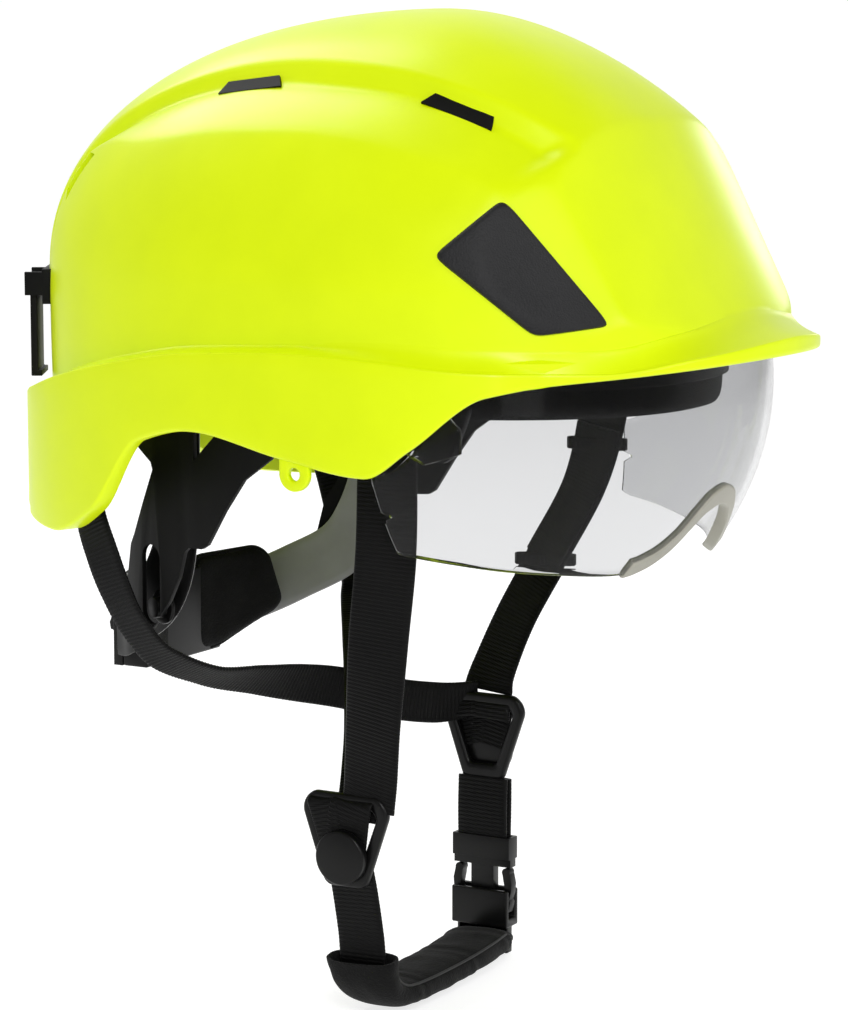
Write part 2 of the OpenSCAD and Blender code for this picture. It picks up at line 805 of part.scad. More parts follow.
front_right_route = [
    [-78.2, -23, -27], [-79, -23.8, -44], [-76, -21.5, -73], [-69, -14.4, -104], [-62, -8.2, -132],
    [-55.2, -3.1, -154], [-54, -1.5, -164]
];
front_right_sides = [
    [0, -1, 0], [0.25, -0.95, 0], [0.4, -0.9, 0], [0.3, -0.95, 0], [0.05, -1, 0], [0, -1, 0], [0, -1, 0]
];
front_left_route = [
    [78.6, -22, -27], [78.4, -20.5, -46], [76, -14.9, -70], [69, -4, -95], [62, 5.6, -117], [54.4, 10.7, -136],
    [52, 11.6, -143.6]
];
front_left_sides = [
    [0, -1, 0], [-0.1, -0.98, 0], [-0.25, -0.97, 0], [-0.25, -0.97, 0], [-0.25, -0.97, 0],
    [-0.15, -0.98, 0], [0, -1, 0]
];
module front_strap_right() color(WEB) webbing(front_right_route, front_right_sides);
module front_strap_left() color(WEB) webbing(front_left_route, front_left_sides);

rear_w = 15;
rear_right_route = [
    [-73, 95, -55], [-74.5, 91.7, -69], [-75, 85.2, -82], [-73.5, 81.6, -94], [-71.5, 78, -106],
    [-64, 73.6, -118], [-46, 67, -126.8], [-24, 61, -131.3], [-6, 55.4, -135], [10, 48.5, -138.8],
    [29, 37, -145], [41, 28.5, -147.6]
];
rear_right_sides = [
    [0.8, 0.55, 0], [0.7, 0.7, 0], [0.6, 0.75, -0.3], [0.5, 0.75, -0.4], [0.5, 0.6, -0.6],
    [0.6, 0.5, -0.6], [0.55, 0.6, -0.5], [0.4, 0.5, -0.7], [0.2, 0.3, -0.9], [0.1, 0.1, -1],
    [0, 0, -1], [0, 0, -1]
];
rear_left_route = [
    [73, 95, -55], [77, 91.3, -71.3], [77, 86.4, -89], [76.3, 81, -102.5], [70.5, 75.9, -111.5],
    [58.8, 69.2, -115.5], [38, 56, -122.5], [15, 41.6, -131], [-5, 29.2, -139], [-24, 17.6, -147], [-40, 9, -154],
    [-51.9, 3.5, -162]
];
rear_left_sides = [
    [-0.8, 0.55, 0], [-0.5, 0.85, 0], [-0.3, 0.95, 0.1], [-0.3, 0.95, 0.1], [-0.3, 0.9, 0.2], [-0.4, 0.85, 0.1],
    [-0.5, 0.85, 0], [-0.5, 0.8, 0.2], [-0.5, 0.8, 0.2], [-0.4, 0.9, 0.1], [-0.2, 1, 0], [0, 1, 0]
];
module rear_strap_right() color(WEB) webbing(rear_right_route, rear_right_sides, rear_w);
module rear_strap_left() color(WEB) webbing(rear_left_route, rear_left_sides, rear_w);

buckle_t = 3;
module y_buckle(at) {
    translate(at)
        rotate([90, 0, 90])
            translate([0, 0, -buckle_t / 2])
                linear_extrude(height = buckle_t)
                    difference() {
                        hull() {
                            for (y = [-11.5, 11.5]) translate([y, 9]) circle(r = 5);
                            for (y = [-5, 5]) translate([y, -13]) circle(r = 4);
                        }
                        hull() {
                            for (y = [-8, 8]) translate([y, 8]) circle(r = 2.2);
                        }
                        hull() {
                            for (y = [-3.5, 3.5]) translate([y, -3]) circle(r = 1.8);
                        }
                    }
}
y_right_at = [-54, 7, -175];
y_left_at = [50, 12, -159];
module y_buckle_right() color(BLACK) y_buckle(y_right_at);
module y_buckle_left() color(BLACK) y_buckle(y_left_at);

disc_r = 9.3;
disc_t = 4;
module lock_disc(at, side)
    translate(at + [side * (buckle_t / 2 + (side > 0 ? 0 : disc_t)), 0, -6.2])
        rotate([0, 90, 0]) cylinder(r = disc_r, h = disc_t);
module lock_disc_right() color(BLACK) lock_disc(y_right_at, -1);
module lock_disc_left() color(BLACK) lock_disc(y_left_at, 1);

grip_y = 11.6;          // centre of the release buckle
grip_x = 50;
lock_top = -196;
prong_root = -207;
module adjuster_strap()
    color(WEB)
        translate([grip_x - 2.2, grip_y - web_w / 2, lock_top - 5])
            cube([4.4, web_w, y_left_at.z - 15.5 - lock_top + 5]);

module keeper(at, turn) {
    translate(at)
        rotate([0, 0, turn])
            difference() {
                cube([5.4, web_w + 3, 6], center = true);
                cube([3.8, web_w + 1.2, 8], center = true);
            }
}
module strap_keepers() {
    color(BLACK) {
        keeper([77.9, -18.9, -54.5], 8);
        keeper([68.4, -3.2, -97], 14.5);
    }
}

buckle_half_w = 11.6;
module male_buckle() {
    color(BLACK)
        translate([grip_x, grip_y, 0]) {
            difference() {
                translate([-3.2, -buckle_half_w, lock_top - 8]) cube([6.4, 2 * buckle_half_w, 8]);
                translate([-2.3, -10.4, lock_top - 6]) cube([4.6, 20.8, 7]);
            }
            translate([-2, -buckle_half_w, prong_root]) cube([4, 2 * buckle_half_w, 3]);
            translate([-1.9, -4.6, prong_root - 14]) cube([3.8, 9.2, 14]);
        }
}

prong_pin_y = 9.6;
prong_pin_z = -2;
prong_pin_r = 1.6;
prong_outline = [
    [8.2, -2.4], [8.6, -5], [9.2, -8], [8.6, -12], [8.4, -16.6], [10.8, -16.6], [11.4, -13], [11, -12],
    [11.8, -9], [12, -6], [11.2, -2.4]
];
module prong(side)
    translate([grip_x - 1.8, grip_y, prong_root])
        rotate([90, 0, 90])
            linear_extrude(height = 3.6) {
                polygon([for (p = prong_outline) [p.x * side, p.y]]);
                translate([side * prong_pin_y, prong_pin_z]) circle(r = prong_pin_r);
            }
module prong_front() color(BLACK) prong(-1);
module prong_rear() color(BLACK) prong(1);

socket_top = -215.4;
socket_low = -226;
module female_buckle() {
    color(BLACK)
        translate([grip_x, grip_y, 0]) {
            for (x = [-4.4, 2.4])
                translate([x, -11.4, socket_low - 1]) cube([2, 22.8, socket_top - socket_low + 1]);
            translate([-4.4, -11.4, socket_low - 3]) cube([8.8, 22.8, 3]);
            difference() {
                translate([-2, -10.4, socket_low - 13]) cube([4, 20.8, 10.5]);
                translate([-3, -8.6, socket_low - 10.5]) cube([6, 17.2, 6.5]);
            }
        }
}

chin_route = [
    [-52.2, 7, -184], [-50, 6.3, -194], [-47.6, 5.4, -209], [-46, 5, -221], [-41, 4.5, -229.5],
    [-28, 3.5, -232.6], [8, 3, -232], [32, 4.5, -231], [43, 8, -232], [48.2, 11, -233.6]
];
chin_sides = [for (p = chin_route) [0, -1, 0]];
module chin_strap() color(WEB) webbing(chin_route, chin_sides, 18, 1.6, 3);

chin_pad_route = [
    [-47, 5.3, -218], [-45, 4.9, -226], [-38.5, 4.4, -231.4], [-27, 3.5, -232.8], [0, 3, -232.4],
    [22, 3.6, -231.4], [41, 6.5, -231]
];
chin_pad_sides = [for (p = chin_pad_route) [0, -1, 0]];
module chin_pad() color(WEB) webbing(chin_pad_route, chin_pad_sides, 25, 10, 3);

shell();
accessory_lug_right();
accessory_lug_left();
side_pad_right();
side_pad_left();
clip_mount_right();
clip_mount_left();
lamp_clip_right();
lamp_clip_left();
strap_anchors();
headband();
sweatband();
cradle_straps();
crown_pad();
cradle_clips();
nape_arm_right();
nape_arm_left();
size_band_right();
size_band_left();
ratchet_housing();
ratchet_cover();
ratchet_dial();
ratchet_pinion();
rack_right();
rack_left();
nape_pad_right();
nape_pad_left();
height_stud_right();
height_stud_left();
visor_lens();
nose_bridge();
visor_arm_right();
visor_arm_left();
visor_bracket_right();
visor_bracket_left();
front_strap_right();
front_strap_left();
rear_strap_right();
rear_strap_left();
y_buckle_right();
y_buckle_left();
lock_disc_right();
lock_disc_left();
adjuster_strap();
strap_keepers();
male_buckle();
prong_front();
prong_rear();
female_buckle();
chin_strap();
chin_pad();
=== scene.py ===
import json
import math

import bmesh
import bpy
import numpy as np
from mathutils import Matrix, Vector

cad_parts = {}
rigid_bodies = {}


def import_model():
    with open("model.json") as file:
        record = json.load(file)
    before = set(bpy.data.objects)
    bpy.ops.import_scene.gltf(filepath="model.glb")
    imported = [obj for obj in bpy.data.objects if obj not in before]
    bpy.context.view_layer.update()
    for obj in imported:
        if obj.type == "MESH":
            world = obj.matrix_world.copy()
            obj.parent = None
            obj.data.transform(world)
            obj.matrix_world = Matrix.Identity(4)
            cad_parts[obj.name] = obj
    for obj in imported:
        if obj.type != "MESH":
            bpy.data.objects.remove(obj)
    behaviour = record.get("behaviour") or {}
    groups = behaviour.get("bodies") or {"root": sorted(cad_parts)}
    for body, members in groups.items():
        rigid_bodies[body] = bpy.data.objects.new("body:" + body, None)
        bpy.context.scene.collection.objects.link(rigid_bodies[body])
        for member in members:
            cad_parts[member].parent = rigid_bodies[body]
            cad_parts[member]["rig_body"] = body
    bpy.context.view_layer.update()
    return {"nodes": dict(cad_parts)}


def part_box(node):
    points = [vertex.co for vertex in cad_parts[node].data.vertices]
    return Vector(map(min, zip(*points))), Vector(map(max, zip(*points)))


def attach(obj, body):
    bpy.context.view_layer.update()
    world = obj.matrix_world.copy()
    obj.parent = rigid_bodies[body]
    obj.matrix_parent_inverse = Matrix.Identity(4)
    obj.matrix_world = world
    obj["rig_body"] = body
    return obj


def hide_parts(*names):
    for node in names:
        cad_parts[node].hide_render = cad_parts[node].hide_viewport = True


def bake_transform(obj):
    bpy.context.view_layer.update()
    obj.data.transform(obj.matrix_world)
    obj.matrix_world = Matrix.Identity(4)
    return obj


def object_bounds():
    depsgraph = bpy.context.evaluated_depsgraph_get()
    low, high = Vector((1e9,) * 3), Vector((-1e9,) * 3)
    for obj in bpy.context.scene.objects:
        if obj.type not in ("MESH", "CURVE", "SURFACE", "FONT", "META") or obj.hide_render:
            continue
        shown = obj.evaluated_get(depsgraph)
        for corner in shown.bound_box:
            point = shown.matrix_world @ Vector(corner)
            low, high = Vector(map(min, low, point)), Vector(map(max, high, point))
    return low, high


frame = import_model()

MM = 0.001


# ---------- small helpers ----------

def smooth(t):
    """An S-shaped step from 0 to 1."""
    u = np.clip(t, 0.0, 1.0)
    return u * u * (3.0 - 2.0 * u)


def ramp(t, corner=0.22):
    """A straight ramp from 0 to 1 with its two corners rounded."""
    u = np.clip(t, -corner, 1.0 + corner)
    low = np.where(u < corner, (u + corner) ** 2 / (4 * corner), u)
    high = np.where(u > 1 - corner, 1 - (1 + corner - u) ** 2 / (4 * corner), low)
    return high


def mix(a, b, t):
    """The value t of the way from a to b."""
    return a + (b - a) * t


def curve(points, x):
    """A smooth curve through [x, y] pairs that never overshoots them."""
    p = np.array(points, float)
    xs, ys = p[:, 0], p[:, 1]
    h = np.diff(xs)
    slope = np.diff(ys) / h
    m = np.zeros(len(xs))
    for i in range(1, len(xs) - 1):
        if slope[i - 1] * slope[i] > 0:
            w1, w2 = 2 * h[i] + h[i - 1], h[i] + 2 * h[i - 1]
            m[i] = (w1 + w2) / (w1 / slope[i - 1] + w2 / slope[i])
    x = np.clip(np.asarray(x, float), xs[0], xs[-1])
    i = np.clip(np.searchsorted(xs, x, side="right") - 1, 0, len(xs) - 2)
    t = (x - xs[i]) / h[i]
    t2, t3 = t * t, t * t * t
    return (
        (2 * t3 - 3 * t2 + 1) * ys[i]
        + (t3 - 2 * t2 + t) * h[i] * m[i]
        + (3 * t2 - 2 * t3) * ys[i + 1]
        + (t3 - t2) * h[i] * m[i + 1]
    )


def unit(v):
    """Vectors of length 1 along v."""
    v = np.asarray(v, float)
    return v / np.linalg.norm(v, axis=-1, keepdims=True)


def catmull(points, t):
    """Points on a Catmull-Rom curve through a list of points, at parameters t."""
    p = np.array(points, float)
    t = np.asarray(t, float)
    n = len(p)
    i = np.clip(np.floor(t).astype(int), 0, n - 2)
    u = (t - i)[:, None]
    a, b = p[np.maximum(0, i - 1)], p[i]
    c, d = p[i + 1], p[np.minimum(n - 1, i + 2)]
    return 0.5 * (
        2 * b
        + (c - a) * u
        + (2 * a - 5 * b + 4 * c - d) * u**2
        + (3 * b - 3 * c + d - a) * u**3
    )


def rounded_outline(points, radius, steps=5):
    """A closed outline with every corner rounded."""
    p = np.array(points, float)
    n = len(p)
    out = []
    for i in range(n):
        a, b, c = p[i - 1], p[i], p[(i + 1) % n]
        to_a, to_c = a - b, c - b
        la, lc = np.linalg.norm(to_a), np.linalg.norm(to_c)
        r = min(radius, la * 0.45, lc * 0.45)
        start, end = b + to_a / la * r, b + to_c / lc * r
        for k in range(steps + 1):
            u = k / steps
            out.append((1 - u) ** 2 * start + 2 * u * (1 - u) * b + u * u * end)
    return np.array(out)


def quads(rows, cols, wrap=True):
    """Faces of a grid of rows and cols; wrap closes each row on itself."""
    faces = []
    for j in range(rows - 1):
        for i in range(cols if wrap else cols - 1):
            k = (i + 1) % cols
            faces.append((j * cols + i, j * cols + k, (j + 1) * cols + k, (j + 1) * cols + i))
    return faces


def two_sided(rows, cols):
    """Faces of an open grid and of the grid behind it, whose points follow it."""
    size = rows * cols
    faces = []
    for a, b, c, d in quads(rows, cols, False):
        faces.append((a, b, c, d))
        faces.append((size + d, size + c, size + b, size + a))
    return faces


def grid_rim(rows, cols):
    """The points round the outside of a grid, in order."""
    return (
        list(range(cols))
        + [j * cols + cols - 1 for j in range(1, rows)]
        + [(rows - 1) * cols + i for i in range(cols - 2, -1, -1)]
        + [j * cols for j in range(rows - 2, 0, -1)]
    )


def loop_faces(first, second):
    """Faces between two closed loops of points."""
    n = len(first)
    return [(first[(k + 1) % n], first[k], second[k], second[(k + 1) % n]) for k in range(n)]


def shade(mesh, angle=35.0):
    """Smooth shading, with the edges sharper than angle kept crisp."""
    bm = bmesh.new()
    bm.from_mesh(mesh)
    limit = math.radians(angle)
    for f in bm.faces:
        f.smooth = True
    for e in bm.edges:
        e.smooth = not (len(e.link_faces) == 2 and e.calc_face_angle(0.0) > limit)
    bm.to_mesh(mesh)
    bm.free()


def outward(mesh):
    """Turns all faces to look outwards."""
    bm = bmesh.new()
    bm.from_mesh(mesh)
    bmesh.ops.recalc_face_normals(bm, faces=bm.faces)
    bm.to_mesh(mesh)
    bm.free()


def body_of_node(name):
    """The moving body that a CAD node belongs to."""
    return frame["nodes"][name]["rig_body"]


def piece(name, points, faces, material, body=None, stands_for=(), angle=35.0, turn=True):
    """A new mesh piece from points in millimetres."""
    mesh = bpy.data.meshes.new(name)
    mesh.from_pydata([tuple(p) for p in np.asarray(points, float) * MM], [], faces)
    mesh.validate()
    if turn:
        outward(mesh)
    shade(mesh, angle)
    return place(name, mesh, material, body, stands_for)


def place(name, mesh, material, body=None, stands_for=()):
    """Puts a mesh in the scene with its material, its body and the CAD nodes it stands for."""
    o = bpy.data.objects.new(name, mesh)
    bpy.context.scene.collection.objects.link(o)
    mesh.materials.clear()
    mesh.materials.append(material)
    if body:
        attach(o, body)
    if stands_for:
        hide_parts(*stands_for)
    return o


# ---------- materials ----------

def principled(name, colour, rough, **more):
    """A new material, its node tree and its Principled shader."""
    m = bpy.data.materials.new(name)
    m.use_nodes = True
    b = m.node_tree.nodes["Principled BSDF"]
    b.inputs["Base Color"].default_value = (*colour, 1.0)
    b.inputs["Roughness"].default_value = rough
    for key, value in more.items():
        b.inputs[key.replace("_", " ")].default_value = value
    return m, m.node_tree, b


def add(tree, kind, **settings):
    """A new node with some of its inputs or settings set."""
    n = tree.nodes.new(kind)
    for key, value in settings.items():
        if key in n.inputs:
            n.inputs[key].default_value = value
        else:
            setattr(n, key, value)
    return n


def noise(tree, scale, detail=3.0, kind="ShaderNodeTexNoise"):
    """A noise texture in the object's own coordinates."""
    where = add(tree, "ShaderNodeTexCoord")
    n = tree.nodes.new(kind)
    n.inputs["Scale"].default_value = scale
    if "Detail" in n.inputs:
        n.inputs["Detail"].default_value = detail
    tree.links.new(where.outputs["Object"], n.inputs["Vector"])
    return n


def bump_from(tree, shader, height, strength, distance):
    """Bumps on a shader from a height value."""
    b = add(tree, "ShaderNodeBump", Strength=strength, Distance=distance)
    tree.links.new(height, b.inputs["Height"])
    tree.links.new(b.outputs["Normal"], shader.inputs["Normal"])
    return b


def between(tree, value, low, high, start=0.0, end=1.0):
    """A value from start..end spread to low..high."""
    n = add(tree, "ShaderNodeMapRange")
    n.inputs["From Min"].default_value = start
    n.inputs["From Max"].default_value = end
    n.inputs["To Min"].default_value = low
    n.inputs["To Max"].default_value = high
    tree.links.new(value, n.inputs["Value"])
    return n.outputs["Result"]


def tint(tree, value, dark, light):
    """A colour from dark to light as a value rises."""
    ramp_node = tree.nodes.new("ShaderNodeValToRGB")
    ramp_node.color_ramp.elements[0].color = (*dark, 1.0)
    ramp_node.color_ramp.elements[1].color = (*light, 1.0)
    ramp_node.color_ramp.elements[0].position = 0.3
    ramp_node.color_ramp.elements[1].position = 0.7
    tree.links.new(value, ramp_node.inputs["Fac"])
    return ramp_node.outputs["Color"]


def moulded(name, dark, light, rough, grain, depth, kind="ShaderNodeTexNoise", gloss=0.5, **more):
    """Moulded plastic or rubber with a fine grain."""
    m, tree, b = principled(name, light, rough, **more)
    b.inputs["Specular IOR Level"].default_value = gloss
    big = noise(tree, 45.0, 4.0)
    tree.links.new(tint(tree, big.outputs["Fac"], dark, light), b.inputs["Base Color"])
    fine = noise(tree, grain, 2.0, kind)
    out = fine.outputs["Distance"] if kind == "ShaderNodeTexVoronoi" else fine.outputs["Fac"]
    tree.links.new(between(tree, big.outputs["Fac"], rough - 0.05, rough + 0.06), b.inputs["Roughness"])
    bump_from(tree, b, out, 0.5, depth)
    return m


SHELL = moulded("shell_plastic", (0.75, 0.92, 0.0), (0.79, 0.96, 0.0), 0.34, 700.0, 0.00002,
                gloss=0.28, Coat_Weight=0.05, Coat_Roughness=0.2)
shell_shader = SHELL.node_tree.nodes["Principled BSDF"]
# The faint emission is painted light: a glow that lifts the shell in shade, standing in for the plastic's
# fluorescence.
shell_shader.inputs["Emission Color"].default_value = (0.70, 1.0, 0.0, 1.0)
shell_shader.inputs["Emission Strength"].default_value = 0.05
BLACK = moulded("black_plastic", (0.003, 0.003, 0.003), (0.006, 0.006, 0.006), 0.5, 2600.0, 0.00004,
                gloss=0.12)
SATIN = moulded("satin_black_plastic", (0.003, 0.003, 0.003), (0.005, 0.005, 0.005), 0.32, 3000.0, 0.00002,
                gloss=0.2)
PAD = moulded("grained_pad", (0.010, 0.010, 0.011), (0.017, 0.017, 0.018), 0.5, 1500.0, 0.00016,
              "ShaderNodeTexVoronoi", gloss=0.25)
GREY = moulded("grey_band", (0.25, 0.25, 0.25), (0.33, 0.33, 0.33), 0.40, 1200.0, 0.00003)
NOSE = moulded("nose_rubber", (0.33, 0.32, 0.27), (0.40, 0.39, 0.33), 0.45, 900.0, 0.00003)
RUBBER = moulded("soft_grip", (0.008, 0.008, 0.009), (0.014, 0.014, 0.015), 0.6, 2200.0, 0.00006, gloss=0.2)


def lens_material():
    """Clear polycarbonate with a faint grey tint."""
    m, tree, b = principled("clear_lens", (0.66, 0.663, 0.67), 0.02, Transmission_Weight=1.0, IOR=1.22)
    n = noise(tree, 12.0, 2.0)
    tree.links.new(between(tree, n.outputs["Fac"], 0.0, 0.03), b.inputs["Roughness"])
    return m


LENS = lens_material()


def web_material():
    """Black webbing: cross ribs and the yarns in them, from the strap's own flat coordinates."""
    m, tree, b = principled("black_webbing", (0.004, 0.004, 0.004), 0.45, Sheen_Weight=0.01,
                            Sheen_Roughness=0.4, Specular_IOR_Level=0.12)
    uv = add(tree, "ShaderNodeUVMap", uv_map="flat")
    split = add(tree, "ShaderNodeSeparateXYZ")
    tree.links.new(uv.outputs["UV"], split.inputs[0])

    def wave(source, pitch):
        k = add(tree, "ShaderNodeMath", operation="MULTIPLY")
        k.inputs[1].default_value = 2 * math.pi / pitch
        tree.links.new(source, k.inputs[0])
        s = add(tree, "ShaderNodeMath", operation="SINE")
        tree.links.new(k.outputs[0], s.inputs[0])
        return s.outputs[0]

    slant = add(tree, "ShaderNodeMath", operation="ADD")
    tree.links.new(split.outputs["Y"], slant.inputs[0])
    lean = add(tree, "ShaderNodeMath", operation="MULTIPLY")
    lean.inputs[1].default_value = 0.6
    tree.links.new(split.outputs["X"], lean.inputs[0])
    tree.links.new(lean.outputs[0], slant.inputs[1])
    yarn = wave(slant.outputs[0], 0.72)
    along = wave(split.outputs["X"], 0.9)
    both = add(tree, "ShaderNodeMath", operation="MULTIPLY")
    tree.links.new(yarn, both.inputs[0])
    tree.links.new(along, both.inputs[1])
    fuzz = noise(tree, 3500.0, 2.0)
    total = add(tree, "ShaderNodeMath", operation="ADD")
    tree.links.new(both.outputs[0], total.inputs[0])
    tree.links.new(fuzz.outputs["Fac"], total.inputs[1])
    bump_from(tree, b, total.outputs[0], 0.6, 0.00009)
    patch = noise(tree, 60.0, 3.0)
    tree.links.new(tint(tree, patch.outputs["Fac"], (0.0015, 0.0015, 0.0015), (0.003, 0.003, 0.003)),
                   b.inputs["Base Color"])
    tree.links.new(between(tree, patch.outputs["Fac"], 0.38, 0.5), b.inputs["Roughness"])
    return m


WEB = web_material()


def foam_material():
    """Black knitted fabric over foam."""
    m, tree, b = principled("foam_fabric", (0.004, 0.004, 0.004), 0.8, Sheen_Weight=0.03, Sheen_Roughness=0.5,
                            Specular_IOR_Level=0.15)
    knit = noise(tree, 1500.0, 1.0, "ShaderNodeTexVoronoi")
    fuzz = noise(tree, 700.0, 4.0)
    total = add(tree, "ShaderNodeMath", operation="ADD")
    tree.links.new(knit.outputs["Distance"], total.inputs[0])
    tree.links.new(fuzz.outputs["Fac"], total.inputs[1])
    bump_from(tree, b, total.outputs[0], 0.7, 0.00022)
    patch = noise(tree, 90.0, 4.0)
    tree.links.new(tint(tree, patch.outputs["Fac"], (0.002, 0.002, 0.002), (0.005, 0.005, 0.005)),
                   b.inputs["Base Color"])
    return m


FOAM = foam_material()
THREAD = moulded("sewing_thread", (0.010, 0.010, 0.010), (0.020, 0.020, 0.020), 0.6, 3000.0, 0.0001)


# ---------- shell surface, the same as the CAD one ----------

DOME_HALF_W = 101.0
DOME_FRONT = 115.5
DOME_REAR = 139.0
DOME_UP = 88.5
DOME_Z = 12.0
DOME_N = 2.46
SKIRT = 400.0
SOFT = 240.0
SHELL_WALL = 2.6
BELT_OUT = 5.0
BRIM_REACH = 131.0
PANEL_N = np.array([0.0, -0.886, 0.462])
PANEL_AT = 102.6
PANEL_BOW = 314.0
FACET_N = np.array([0.687, -0.657, 0.311])
FACET_AT = 109.6
STEP_DEPTH = 4.8
RIDGE = 1.0
STEP_TOP = [[-80, 49], [-60, 53.2], [-30, 56], [33, 57.3], [66, 58.7], [110, 58]]
STEP_FOOT = [[-76, 58.5], [-51, 60.4], [-17, 62.1], [24, 64.1], [58, 63.6], [110, 61]]
SHOULDER = [[-66, 77], [-40, 79.8], [0, 81.6], [25, 83], [52, 81.5], [71, 77.3], [88, 70], [115, 61]]
CENTRE = np.array([0.0, 0.0, DOME_Z])


def plain_r(d):
    b = np.where(d[..., 1] < 0, DOME_FRONT, DOME_REAR)
    c = np.where(d[..., 2] > 0, DOME_UP, SKIRT)
    m = mix(2.12, 1.62, 0.5 - 0.5 * np.tanh(2 * d[..., 1]))
    plan = (np.abs(d[..., 0]) / DOME_HALF_W) ** DOME_N + (np.abs(d[..., 1]) / b) ** DOME_N
    return (plan ** (m / DOME_N) + (np.abs(d[..., 2]) / c) ** m) ** (-1 / m)


def panel_r(d):
    b = np.maximum(0.05, d @ PANEL_N)
    c = PANEL_AT - PANEL_N[2] * DOME_Z
    a = d[..., 0] ** 2 / PANEL_BOW
    return 2 * c / (b + np.sqrt(b * b + 4 * a * c))


def facet_r(d):
    b = FACET_N[0] * np.abs(d[..., 0]) + FACET_N[1] * d[..., 1] + FACET_N[2] * d[..., 2]
    return (FACET_AT - FACET_N[2] * DOME_Z) / np.maximum(0.05, b)


def step_off(p):
    x, y, z = np.abs(p[..., 0]), p[..., 1], p[..., 2]
    edge_a = curve(STEP_TOP, y)
    edge_b = curve(STEP_FOOT, y)
    edge_c = curve(SHOULDER, y)
    drop = ramp((x - edge_a) / (edge_b - edge_a))
    rise = ramp((x - edge_b) / np.maximum(4, edge_c - edge_b), 0.12)
    front = smooth((y * 0.75 - x * 0.25 + z * 0.1 + 66) / 5)
    rear = smooth((z - 4) / 40)
    past = np.where(x > edge_c, np.exp(-np.maximum(0, x - edge_c) / 8), rise)
    return (RIDGE * past * drop - STEP_DEPTH * drop * (1 - rise)) * front * rear


def shell_r(d):
    faces = np.stack([plain_r(d), panel_r(d), facet_r(d)])
    least = faces.min(0)
    base = least * ((faces / least) ** -SOFT).sum(0) ** (-1 / SOFT)
    return base + step_off(CENTRE + base[..., None] * d)


def direction(az, el):
    a, e = np.radians(az), np.radians(el)
    return np.stack([-np.sin(a) * np.cos(e), -np.cos(a) * np.cos(e), np.sin(e)], -1)


def shell_pt(az, el, off=0.0):
    d = direction(az, el)
    return CENTRE + d * (shell_r(d) + off)[..., None]


RIM_LINE = [
    [0, -10], [35, -14], [54, -19], [66, -36], [74, -45.5], [90, -41], [109, -34.5],
    [120, -39], [131, -65], [141, -74], [152, -72], [165, -60], [180, -57],
]
BELT_LINE = [
    [0, 4], [22, -0.5], [36, -4.5], [57, -4.5], [72, -3.8], [92, -5], [111, -7], [126, -12],
    [138, -18], [150, -25], [165, -30], [180, -31],
]


DROP_LINE = [[0, 8], [30, 7.5], [57, 6.5], [72, 4.7], [92, 2.2], [180, 2.5]]


def fold(az):
    a = np.asarray(az, float) % 360
    return np.where(a > 180, 360 - a, a)


def rim_z(az):
    return curve(RIM_LINE, fold(az))


def belt_z(az):
    return curve(BELT_LINE, fold(az))


def brim_r(az):
    a = np.radians(az)
    return 1 / np.sqrt((np.sin(a) / 106) ** 2 + (np.cos(a) / BRIM_REACH) ** 2)


def wall_r(az):
    p = shell_pt(az, np.zeros_like(az))
    return np.hypot(p[..., 0], p[..., 1])


def belt_off(az):
    a = fold(az)
    brim = brim_r(az) - wall_r(az)
    return np.where(a < 90, np.maximum(BELT_OUT, brim), BELT_OUT + 3.5 * smooth((a - 115) / 40))


def brim_part(az):
    return np.clip((belt_off(az) - BELT_OUT) / (BRIM_REACH - DOME_FRONT - BELT_OUT), 0, 1)


def ring_pt(az, r, z):
    a = np.radians(az)
    return np.stack([-np.sin(a) * r, -np.cos(a) * r, z + 0 * r], -1)


